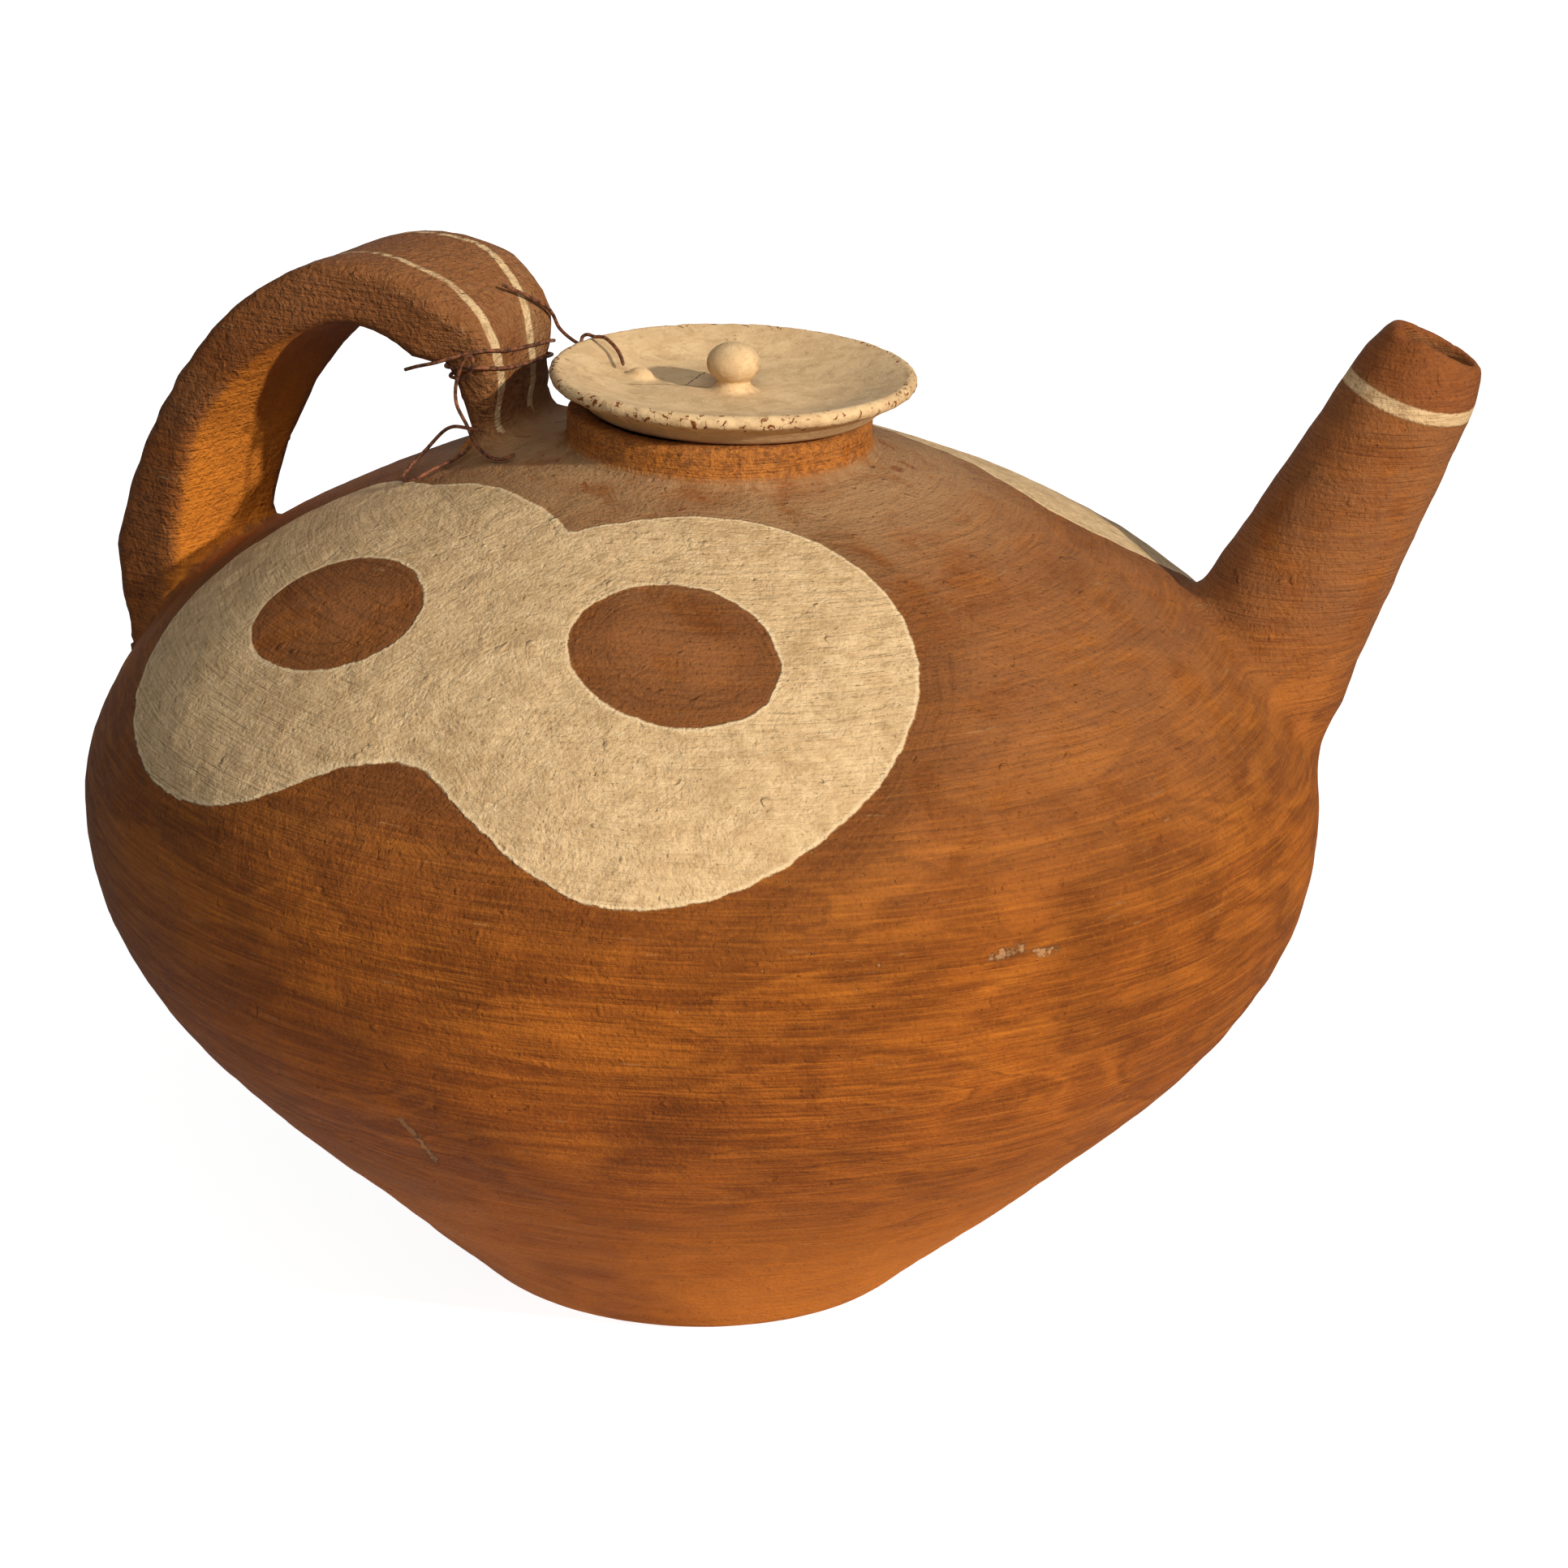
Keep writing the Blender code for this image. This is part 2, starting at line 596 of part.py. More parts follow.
def make_nub(collection):
    """Small clay lump on the dish that the tether's end is pressed into."""
    mesh = bpy.data.meshes.new("nub")
    bm = bmesh.new()
    bmesh.ops.create_icosphere(bm, subdivisions=2, radius=1.0)
    bmesh.ops.scale(bm, verts=bm.verts, vec=(NUB_LENGTH / 2, NUB_WIDTH / 2, NUB_HEIGHT))
    turn = Matrix.Rotation(NUB_DIRECTION, 3, "Z")
    bmesh.ops.rotate(bm, verts=bm.verts, cent=(0.0, 0.0, 0.0), matrix=turn)
    bmesh.ops.translate(bm, verts=bm.verts, vec=over_lid(NUB_REACH, NUB_DIRECTION, 0.0))
    bm.to_mesh(mesh)
    bm.free()
    nub = bpy.data.objects.new("nub", mesh)
    collection.objects.link(nub)
    return as_cutter(nub)


def make_lid(parts, cutters, slip):
    """Saucer lid with its knob and nub, resting on the collar."""
    lid = turned("lid", lid_profile(), LID_STEPS, parts)
    lid.location = LID_CENTRE
    add_boolean(lid, make_nub(cutters), "UNION")
    lid.data.materials.append(slip)
    return lid


def smooth_path(points):
    """Even points on a smooth curve through the given ones."""
    path = []
    for i in range(len(points) - 1):
        before = points[max(i - 1, 0)]
        start = points[i]
        end = points[i + 1]
        after = points[min(i + 2, len(points) - 1)]
        for k in range(WIRE_SPAN_POINTS):
            t = k / WIRE_SPAN_POINTS
            path.append(0.5 * (2 * start + (end - before) * t
                               + (2 * before - 5 * start + 4 * end - after) * t * t
                               + (3 * start - before - 3 * end + after) * t ** 3))
    path.append(points[-1])
    return path


def make_wire(name, points, collection, iron):
    """Round wire along a line of points."""
    curve = bpy.data.curves.new(name, "CURVE")
    curve.dimensions = "3D"
    curve.bevel_depth = WIRE_DIAMETER / 2
    curve.bevel_resolution = WIRE_ROUND_POINTS
    curve.use_fill_caps = True
    spline = curve.splines.new("POLY")
    spline.points.add(len(points) - 1)
    for node, point in zip(spline.points, points):
        node.co = (*point, 1.0)
    wire = bpy.data.objects.new(name, curve)
    collection.objects.link(wire)
    curve.materials.append(iron)
    return wire


def winding_station(height):
    """Station of the strap on its inner leg at a height, between two modelled ones."""
    stations = strap_stations()[STRAP_STATIONS // 2:]
    for a, b in zip(stations, stations[1:]):
        if b[0].y <= height <= a[0].y:
            share = (a[0].y - height) / (a[0].y - b[0].y)
            return tuple(p + share * (q - p) for p, q in zip(a, b))
    return stations[-1]


def winding():
    """Turns of wire round the inner leg, from the middle of its near edge."""
    angles = section_angles()
    clearance = WIRE_CLEARANCE + WINDING_SLACK
    points = []
    for k in range(WINDING_TURNS * STRAP_SECTION_POINTS + 1):
        angle = angles[k % STRAP_SECTION_POINTS]
        height = WINDING_HEIGHT - WINDING_PITCH * k / STRAP_SECTION_POINTS
        height -= WINDING_TILT * (1.0 - math.cos(angle)) / 2
        points.append(strap_point(winding_station(height), angle, clearance))
    return points


def beside_leg(out, near, above):
    """Point beside the inner leg: outwards from it, past its near edge, over the shoulder."""
    outward, sideways = handle_frame()
    near_edge = INNER_FOOT_WIDTH / 2 - INNER_FOOT_SWAY
    flat = outward * (HANDLE_INNER_REACH + out) + sideways * (near_edge + near)
    radius = max(flat.length, COLLAR_RADIUS)
    return Vector((flat.x, flat.y, shoulder_height_at(radius) + above))


def make_handle_wire(parts, iron):
    """Wire with its free end, its turns round the inner leg and the loop hanging from them."""
    turns = winding()
    free_end = [
        beside_leg(0.0216, 0.0085, 0.0345),
        beside_leg(0.0155, 0.0110, 0.0352),
        beside_leg(0.0094, 0.0125, 0.0352),
    ]
    hanging_loop = [
        beside_leg(-0.0030, 0.0100, 0.0300),
        beside_leg(-0.0034, 0.0108, 0.0340),
        beside_leg(-0.0012, 0.0108, 0.0346),
        beside_leg(0.0014, 0.0102, 0.0302),
        beside_leg(0.0032, 0.0092, 0.0251),
        beside_leg(0.0034, 0.0085, 0.0196),
        beside_leg(0.0017, 0.0085, 0.0154),
        beside_leg(-0.0012, 0.0095, 0.0112),
        beside_leg(-0.0041, 0.0115, 0.0069),
        beside_leg(-0.0087, 0.0145, 0.0034),
        beside_leg(-0.0140, 0.0172, 0.0015),
        beside_leg(-0.0182, 0.0178, 0.0013),
        beside_leg(-0.0208, 0.0160, 0.0016),
    ]
    path = smooth_path(free_end + turns[:1])[:-1] + turns
    path += smooth_path(turns[-1:] + hanging_loop)[1:]
    make_wire("handle_wire", path, parts, iron)


def make_shoulder_wire(parts, iron):
    """Bent wire that leaves the foot of the inner leg and loops out over the shoulder."""
    loop = [
        beside_leg(-0.0028, 0.0045, 0.0081),
        beside_leg(0.0010, 0.0048, 0.0093),
        beside_leg(0.0055, 0.0050, 0.0109),
        beside_leg(0.0093, 0.0055, 0.0103),
        beside_leg(0.0136, 0.0075, 0.0066),
        beside_leg(0.0169, 0.0105, 0.0038),
        beside_leg(0.0184, 0.0138, 0.0022),
        beside_leg(0.0174, 0.0185, 0.0014),
        beside_leg(0.0142, 0.0218, 0.0013),
        beside_leg(0.0104, 0.0208, 0.0013),
        beside_leg(0.0078, 0.0165, 0.0014),
        beside_leg(0.0044, 0.0135, 0.0015),
        beside_leg(0.0010, 0.0100, 0.0022),
        beside_leg(-0.0012, 0.0062, 0.0038),
    ]
    make_wire("shoulder_wire", smooth_path(loop), parts, iron)


def around_lip(angle, direction):
    """Point that clears the lid's lip, at an angle over its outermost line."""
    lip = LID_LIP_THICKNESS / 2
    distance = lip + WIRE_CLEARANCE + WINDING_SLACK
    out = Vector((math.cos(direction), math.sin(direction), 0.0))
    reach = LID_RADIUS - lip + distance * math.cos(angle)
    height = LID_TOP - lip + distance * math.sin(angle)
    return LID_CENTRE + reach * out + Vector((0.0, 0.0, height))


def make_lid_wire(parts, iron):
    """Tether from the face of the inner leg, over the lid's rim, to the nub on the dish."""
    clearance = WIRE_CLEARANCE + 2 * WINDING_SLACK
    angles = section_angles()
    face = STRAP_SECTION_POINTS // 4
    path = []
    for k, drop in enumerate(TETHER_DROPS):
        station = winding_station(HANDLE_BEND_HEIGHT - drop)
        path.append(strap_point(station, angles[face + k], clearance))
    for turn in TETHER_RIM_TURNS:
        path.append(around_lip(math.radians(turn), TETHER_RIM_DIRECTION))
    rise_reach, rise_above = TETHER_OVER_RISE
    dish_reach, dish_above = TETHER_OVER_DISH
    path.append(over_lid(rise_reach, TETHER_RIM_DIRECTION, rise_above))
    path.append(over_lid(dish_reach, TETHER_RIM_DIRECTION + TETHER_STEP, dish_above))
    end_reach = NUB_REACH + NUB_LENGTH / 2 + WIRE_DIAMETER
    path.append(over_lid(end_reach, NUB_DIRECTION, WIRE_CLEARANCE + GAP))
    make_wire("lid_wire", smooth_path(path), parts, iron)


def build():
    """Clear the scene and make the pot, its lid and its tie wire."""
    for old in list(bpy.data.objects):
        bpy.data.objects.remove(old, do_unlink=True)
    parts = make_collection("earthenware_pot")
    cutters = make_collection("cutters")
    clay = make_material("brown_earthenware", (0.27, 0.11, 0.035), 0.85)
    slip = make_material("cream_slip", (0.56, 0.44, 0.26), 0.8)
    iron = make_material("rusty_wire", (0.09, 0.035, 0.02), 0.7, 0.6)
    make_pot(parts, cutters, clay)
    make_lid(parts, cutters, slip)
    make_handle_wire(parts, iron)
    make_shoulder_wire(parts, iron)
    make_lid_wire(parts, iron)


build()
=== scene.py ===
"""Looks of the earthenware pot: fine surface, slip ornament, light and camera.

The CAD nodes give every place and size. The pot and the lid are taken from them, made finer,
drawn onto smooth surfaces and worked with hand marks; the wires keep their CAD shape.
"""

import logging
import math
from dataclasses import dataclass, field
from enum import Enum
from typing import Callable, NamedTuple, Sequence

import bmesh
import bpy
import numpy as np
from mathutils import Matrix, Vector, noise


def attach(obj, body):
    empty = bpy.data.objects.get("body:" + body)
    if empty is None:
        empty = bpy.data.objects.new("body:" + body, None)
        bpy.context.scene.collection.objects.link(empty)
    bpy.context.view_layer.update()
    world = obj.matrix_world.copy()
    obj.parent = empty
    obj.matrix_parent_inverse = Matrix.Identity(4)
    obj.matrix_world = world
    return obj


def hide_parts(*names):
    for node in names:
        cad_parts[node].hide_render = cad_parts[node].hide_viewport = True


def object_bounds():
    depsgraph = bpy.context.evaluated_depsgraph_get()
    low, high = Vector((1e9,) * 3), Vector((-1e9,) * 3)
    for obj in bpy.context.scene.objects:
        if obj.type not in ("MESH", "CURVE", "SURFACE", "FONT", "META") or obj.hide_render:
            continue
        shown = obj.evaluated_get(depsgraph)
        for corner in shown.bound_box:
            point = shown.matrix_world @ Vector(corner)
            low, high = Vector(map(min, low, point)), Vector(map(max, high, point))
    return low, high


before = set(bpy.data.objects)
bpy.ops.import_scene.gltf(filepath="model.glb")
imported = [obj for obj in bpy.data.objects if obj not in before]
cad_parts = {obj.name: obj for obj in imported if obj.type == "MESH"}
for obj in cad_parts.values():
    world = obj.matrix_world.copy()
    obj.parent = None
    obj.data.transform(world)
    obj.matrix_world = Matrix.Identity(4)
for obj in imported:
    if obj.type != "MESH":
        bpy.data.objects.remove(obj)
BOUNDS_AT_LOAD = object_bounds()
LOG = logging.getLogger("earthenware_pot")
MM = 0.001
DULL_SPECULAR = 0.12
FAR_OFF = 50.0  # Millimetres, stored where a mark has no part

Point2 = tuple[float, float]
Point3 = tuple[float, float, float]
Distance = Callable[[np.ndarray], np.ndarray]


def colour(code: str) -> tuple[float, float, float, float]:
    """Linear colour from an sRGB hex code.

    Args:
        code: Six hex digits after a hash.

    Returns:
        Linear red, green, blue and an alpha of one.
    """
    parts = [int(code[i:i + 2], 16) / 255 for i in (1, 3, 5)]
    linear = [v / 12.92 if v <= 0.04045 else ((v + 0.055) / 1.055) ** 2.4 for v in parts]
    return (linear[0], linear[1], linear[2], 1.0)


def nearest(points: np.ndarray, a: np.ndarray, b: np.ndarray) -> tuple[np.ndarray, np.ndarray]:
    """Nearest places of a straight line to points.

    Args:
        points: Points to measure from.
        a: Start of the line.
        b: End of the line.

    Returns:
        The share of the way at which each place lies, and the gap from it to the point.
    """
    way = b - a
    share = np.clip(((points - a) @ way) / (way @ way), 0.0, 1.0)
    return share, points - a - share[:, None] * way


def smooth_min(a: np.ndarray, b: np.ndarray, reach: float) -> np.ndarray:
    """Lower of two distances with a fillet between them.

    Args:
        a: Distances to the first shape.
        b: Distances to the second shape.
        reach: Size of the fillet.

    Returns:
        Distances to the joined shape.
    """
    share = np.clip(0.5 + 0.5 * (b - a) / reach, 0.0, 1.0)
    return b + (a - b) * share - reach * share * (1.0 - share)


def smooth_max(a: np.ndarray, b: np.ndarray, reach: float) -> np.ndarray:
    """Higher of two distances with a rounded edge between them."""
    return -smooth_min(-a, -b, reach)


def bezier(a: Vector, b: Vector, c: Vector, d: Vector, count: int) -> list[Vector]:
    """Points of a cubic arc from a to d, both ends included."""
    line = []
    for i in range(count):
        t = i / (count - 1)
        s = 1.0 - t
        line.append(s ** 3 * a + 3 * s * s * t * b + 3 * s * t * t * c + t ** 3 * d)
    return line


def arc(centre: Vector, radius: float, start: float, end: float, count: int) -> list[Vector]:
    """Points of a circular arc, its angles in degrees."""
    angles = [math.radians(start + (end - start) * i / (count - 1)) for i in range(count)]
    return [centre + radius * Vector((math.cos(a), math.sin(a))) for a in angles]


class TurnedShape:
    """Distance to a solid turned about an upright axis, read from a grid."""

    def __init__(self, outline: Sequence[Vector], cell: float, margin: float) -> None:
        """Measures the grid.

        Args:
            outline: Closed outline as (radius, height) points, the axis side included.
            cell: Spacing of the grid.
            margin: Room round the outline.
        """
        line = np.array([tuple(p) for p in outline])
        self.cell = cell
        self.low = line.min(0) - margin
        self.low[0] = 0.0
        size = np.ceil((line.max(0) + margin - self.low) / cell).astype(int) + 1
        radii = self.low[0] + cell * np.arange(size[0])
        heights = self.low[1] + cell * np.arange(size[1])
        grid = np.stack(np.meshgrid(radii, heights, indexing="ij"), axis=-1).reshape(-1, 2)
        self.values = polygon_distance(grid, line, open_axis=True).reshape(size[0], size[1])

    def at(self, points: np.ndarray, centre: Point2 = (0.0, 0.0)) -> np.ndarray:
        """Signed distances of points, below zero inside.

        Args:
            points: World points.
            centre: Place of the axis.

        Returns:
            One distance for each point.
        """
        radius = np.hypot(points[:, 0] - centre[0], points[:, 1] - centre[1])
        place = (np.stack([radius, points[:, 2]], axis=1) - self.low) / self.cell
        limit = np.array(self.values.shape) - 1.001
        inside = np.clip(place, 0.0, limit)
        beyond = np.linalg.norm((place - inside) * self.cell, axis=1)
        cell = inside.astype(int)
        share = inside - cell
        i, j = cell[:, 0], cell[:, 1]
        s, t = share[:, 0], share[:, 1]
        v = self.values
        low = v[i, j] * (1 - s) + v[i + 1, j] * s
        high = v[i, j + 1] * (1 - s) + v[i + 1, j + 1] * s
        return low * (1 - t) + high * t + beyond


def polygon_distance(points: np.ndarray, line: np.ndarray, open_axis: bool = False) -> np.ndarray:
    """Signed distances of flat points to a closed polygon, below zero inside.

    Args:
        points: Points to measure, two numbers each.
        line: Corners of the polygon in order.
        open_axis: Leaves edges that lie on the axis out of the distance.

    Returns:
        One distance for each point.
    """
    best = np.full(len(points), np.inf)
    inside = np.zeros(len(points), bool)
    for a, b in zip(line, np.roll(line, -1, axis=0)):
        way = b - a
        crosses = (a[1] > points[:, 1]) != (b[1] > points[:, 1])
        if way[1] != 0.0:
            at = a[0] + (points[:, 1] - a[1]) / way[1] * way[0]
            inside ^= crosses & (points[:, 0] < at)
        if not way.any() or (open_axis and a[0] == 0.0 and b[0] == 0.0):
            continue
        gap = nearest(points, a, b)[1]
        best = np.minimum(best, (gap * gap).sum(1))
    return np.where(inside, -1.0, 1.0) * np.sqrt(best)


@dataclass
class BodyForm:
    """Thrown body: outer wall, hollow and flat foot.

    Attributes:
        belly: Widest radius and its height.
        foot: Radius where the wall meets the ground line.
        shoulder: Height at which the collar starts.
    """

    belly: Point2 = (0.200, 0.163)
    foot: float = 0.0724
    foot_rounding: float = 0.015
    shoulder: float = 0.2775
    neck: float = 0.0492
    wall: float = 0.009
    floor: float = 0.011
    foot_slope: float = 42.0
    neck_slope: float = 13.0
    pulls: tuple[float, float, float, float] = (0.70, 0.225, 0.345, 0.24)
    steps: int = 60
    outline: list[Vector] = field(default_factory=list)

    def __post_init__(self) -> None:
        """Draws the outer wall and measures both surfaces."""
        belly = Vector(self.belly)
        foot = Vector((self.foot, 0.0))
        neck = Vector((self.neck, self.shoulder))
        slope, fall = math.radians(self.foot_slope), math.radians(self.neck_slope)
        low, high = (belly - foot).length, (neck - belly).length
        spread = self.pulls[0] * low * Vector((math.cos(slope), math.sin(slope)))
        drop = Vector((0.0, self.pulls[1] * low))
        rise = Vector((0.0, self.pulls[2] * high))
        lean = self.pulls[3] * high * Vector((math.cos(fall), -math.sin(fall)))
        lower = bezier(foot, foot + spread, belly - drop, belly, self.steps)
        upper = bezier(belly, belly + rise, neck + lean, neck, self.steps)
        self.outline = lower + upper[1:]
        reach = self.foot_rounding * math.tan(slope / 2)
        centre = Vector((self.foot - reach, self.foot_rounding))
        edge = arc(centre, self.foot_rounding, -90.0, self.foot_slope - 90.0, 10)
        wall = [p for p in self.outline if p.y > edge[-1].y + 0.3 * MM]
        closed = [Vector((0.0, 0.0))] + edge + wall + [Vector((0.0, self.shoulder))]
        self.outer = TurnedShape(closed, 1.0 * MM, 0.03)
        inner = []
        for i, point in enumerate(self.outline):
            along = self.outline[min(i + 1, len(self.outline) - 1)] - self.outline[max(i - 1, 0)]
            along.normalize()
            inner.append(point + self.wall * Vector((-along.y, along.x)))
        inner = [p for p in inner if p.y > self.floor + self.wall / 2]
        low_radius = inner[0].x - self.wall
        hollow = [Vector((0.0, self.floor)), Vector((low_radius, self.floor))] + inner
        hollow.append(Vector((0.0, inner[-1].y)))
        self.hollow = TurnedShape(hollow, 1.0 * MM, 0.02)
        self.arc_heights = np.array([p.y for p in self.outline])
        lengths = [0.0]
        back = list(reversed(self.outline))
        for a, b in zip(back, back[1:]):
            lengths.append(lengths[-1] + (b - a).length)
        self.arc_lengths = np.array(lengths[::-1]) + self.neck

    def run_at(self, heights: np.ndarray) -> np.ndarray:
        """Length over the wall from the axis down to each height."""
        return np.interp(heights, self.arc_heights, self.arc_lengths)


@dataclass
class SpoutForm:
    """Straight tapered spout with a convex nose and a chipped lip.

    Attributes:
        root: Where its axis meets the body.
        tilt: Its lean from upright, in degrees.
        length: Length along the axis.
        stations: Outer radius at lengths along the axis.
        bore: Inner radius at lengths along the axis.
        chip_radius: Size of the chip in the lip.
        chip_direction: Its place round the lip, in degrees.
        starts: Place along +X past which the spout is measured.
        overlap: How far the spout and its bore reach back into the body.
        lip_rounding: Rounding of the lip's outer edge.
    """

    root: tuple[float, float, float] = (0.1792, 0.0, 0.2108)
    tilt: float = 25.4
    length: float = 0.1170
    stations: tuple[Point2, ...] = (
        (-0.030, 0.0310), (0.000, 0.0306), (0.006, 0.0294), (0.014, 0.0282), (0.020, 0.0278),
        (0.094, 0.0215), (0.099, 0.0212), (0.106, 0.0200), (0.113, 0.0179), (0.117, 0.0160))
    bore: tuple[Point2, ...] = ((-0.045, 0.0231), (0.0, 0.0231), (0.094, 0.0150), (0.1156, 0.0124),
                                (0.125, 0.0124))
    chip_radius: float = 0.0050
    chip_direction: float = 215.0
    starts: float = 0.12
    overlap: Point2 = (0.025, 0.042)
    lip_rounding: float = 2.2 * MM

    def __post_init__(self) -> None:
        """Sets the spout's own axes."""
        tilt = math.radians(self.tilt)
        self.axis = np.array((math.sin(tilt), 0.0, math.cos(tilt)))
        self.right = np.array((math.cos(tilt), 0.0, -math.sin(tilt)))

    def own(self, points: np.ndarray) -> tuple[np.ndarray, np.ndarray, np.ndarray]:
        """Length along the axis, distance from it and side coordinate to the right."""
        gap = points - np.array(self.root)
        along = gap @ self.axis
        right = gap @ self.right
        return along, np.hypot(right, gap[:, 1]), right

    def outer(self, points: np.ndarray) -> np.ndarray:
        """Distance to the spout without its bore."""
        along, radius, _ = self.own(points)
        keys = np.array(self.stations)
        side = radius - np.interp(along, keys[:, 0], keys[:, 1])
        capped = smooth_max(side, along - self.length, self.lip_rounding)
        return np.maximum(capped, -along - self.overlap[0])

    def hollow(self, points: np.ndarray) -> np.ndarray:
        """Distance to the bore."""
        along, radius, _ = self.own(points)
        keys = np.array(self.bore)
        side = radius - np.interp(along, keys[:, 0], keys[:, 1])
        return np.maximum(side, -along - self.overlap[1])

    def chip(self, points: np.ndarray) -> np.ndarray:
        """Distance to the old chip in the lip."""
        turn = math.radians(self.chip_direction)
        reach = self.stations[-1][1]
        side = np.array((0.0, 1.0, 0.0))
        centre = np.array(self.root) + self.axis * (self.length + self.chip_radius / 2)
        centre = centre + reach * (math.cos(turn) * self.right + math.sin(turn) * side)
        return np.linalg.norm(points - centre, axis=1) - self.chip_radius


@dataclass
class StrapForm:
    """Pulled strap handle, as a centre line with a section that changes on its way.

    Attributes:
        direction: Where it stands round the pot, in degrees from the spout.
        outer_reach: Distance of the outer leg from the pot's axis.
        outer_lean: Lean of the outer leg, in degrees.
        inner_reach: Distance of the inner leg from the axis.
        bend: Distance and height at which the crest turns down into the inner leg.
        bend_slope: Slope of the line there, in degrees.
        sink: How far the outer leg sinks into the body.
        pulls: How strongly each end of the two arcs keeps its direction.
        widths: Widths from the outer leg to the inner leg's foot.
        sways: Sideways shifts of the centre line over the inner leg.
        thicknesses: Thicknesses on the way.
        twists: Turns of the section on the way, in degrees.
        shares: Places of those stations, as shares of the crest and of the inner leg.
        corner_power: Squareness of the section's corners.
        slimming: Shares of width and thickness that fit the section into the solid's.
        half: Points in each half of the centre line.
        starts: Distance from the axis and height past which the strap is measured.
    """

    direction: float = 158.0
    outer_reach: float = 0.1895
    outer_lean: float = 9.0
    inner_reach: float = 0.0740
    bend: Point2 = (0.0878, 0.3122)
    bend_slope: float = 25.0
    sink: float = 0.0070
    pulls: tuple[float, float, float, float] = (0.205, 0.485, 0.36, 0.85)
    widths: tuple[float, ...] = (0.0516, 0.0600, 0.0480, 0.0550, 0.0620)
    sways: tuple[float, ...] = (0.0006, 0.0085, 0.0130)
    thicknesses: tuple[float, ...] = (0.0100, 0.0310, 0.0190, 0.0270, 0.0100, 0.0140)
    twists: tuple[float, ...] = (10.0, 19.0, -6.0, 3.0)
    shares: tuple[float, ...] = (0.15, 0.42, 0.45, 0.75)
    corner_power: float = 7.0
    slimming: tuple[float, float] = (0.965, 0.945)
    half: int = 36
    starts: Point2 = (0.03, 0.17)

    def __post_init__(self) -> None:
        """Sets the handle's plane."""
        turn = math.radians(self.direction)
        self.out = np.array((math.cos(turn), math.sin(turn), 0.0))
        self.near = np.array((-math.sin(turn), math.cos(turn), 0.0))

    def reaches(self, points: np.ndarray) -> np.ndarray:
        """Whether points lie on the handle's side of the pot."""
        return points @ self.out > self.starts[0]

    def measure(self, body: BodyForm) -> None:
        """Draws the centre line onto the body's shoulder and tables the section.

        Args:
            body: The body that the handle stands on.
        """
        radii = np.array([p.x for p in body.outline][::-1])
        heights = np.array([p.y for p in body.outline][::-1])
        top = heights > body.belly[1]
        at = lambda reach: float(np.interp(reach, radii[top], heights[top]))
        outer = Vector((self.outer_reach, at(self.outer_reach) - self.sink))
        inner = Vector((self.inner_reach, at(self.inner_reach) - body.wall))
        bend = Vector(self.bend)
        slope, lean = math.radians(self.bend_slope), math.radians(self.outer_lean)
        onward = Vector((-math.cos(slope), -math.sin(slope)))
        upward = Vector((math.sin(lean), math.cos(lean)))
        long, short = (bend - outer).length, (inner - bend).length
        crest = bezier(outer, outer + self.pulls[0] * long * upward,
                       bend - self.pulls[1] * long * onward, bend, self.half)
        leg = bezier(bend, bend + self.pulls[2] * short * onward,
                     inner + Vector((0.0, self.pulls[3] * short)), inner, self.half)
        line = np.array([tuple(p) for p in crest + leg[1:]])
        steps = np.linalg.norm(np.diff(line, axis=0), axis=1)
        run = np.concatenate([[0.0], np.cumsum(steps)])
        total, bend_at = run[-1], run[self.half - 1]
        foot, outer_leg = self.shares[0] * bend_at, self.shares[1] * bend_at
        waist = bend_at + self.shares[2] * (total - bend_at)
        inner_leg = bend_at + self.shares[3] * (total - bend_at)
        way = np.gradient(line, axis=0)
        way /= np.linalg.norm(way, axis=1)[:, None]
        self.line, self.run = line, run
        self.normals = np.stack([way[:, 1], -way[:, 0]], axis=1)
        self.width = np.interp(run, (0, bend_at, waist, inner_leg, total), self.widths)
        self.sway = np.interp(run, (0, bend_at, waist, inner_leg, total), (0, 0, *self.sways))
        self.thickness = np.interp(
            run, (0, foot, outer_leg, bend_at, inner_leg, total), self.thicknesses)
        twist = np.interp(run, (0, outer_leg, bend_at, inner_leg), self.twists)
        self.twist = np.radians(twist)

    def own(self, points: np.ndarray) -> dict[str, np.ndarray]:
        """Place of points in the strap: across, proud of the centre, and their distance."""
        flat = np.stack([points @ self.out, points[:, 2]], axis=1)
        best = np.full(len(points), np.inf)
        index = np.zeros(len(points), int)
        share = np.zeros(len(points))
        for k, (a, b) in enumerate(zip(self.line, self.line[1:])):
            t, gap = nearest(flat, a, b)
            far = (gap * gap).sum(1)
            closer = far < best
            best[closer], index[closer], share[closer] = far[closer], k, t[closer]

        def read(table: np.ndarray) -> np.ndarray:
            """Value of a station table at each point."""
            lower, upper = table[index], table[index + 1]
            part = share if table.ndim == 1 else share[:, None]
            return lower + (upper - lower) * part

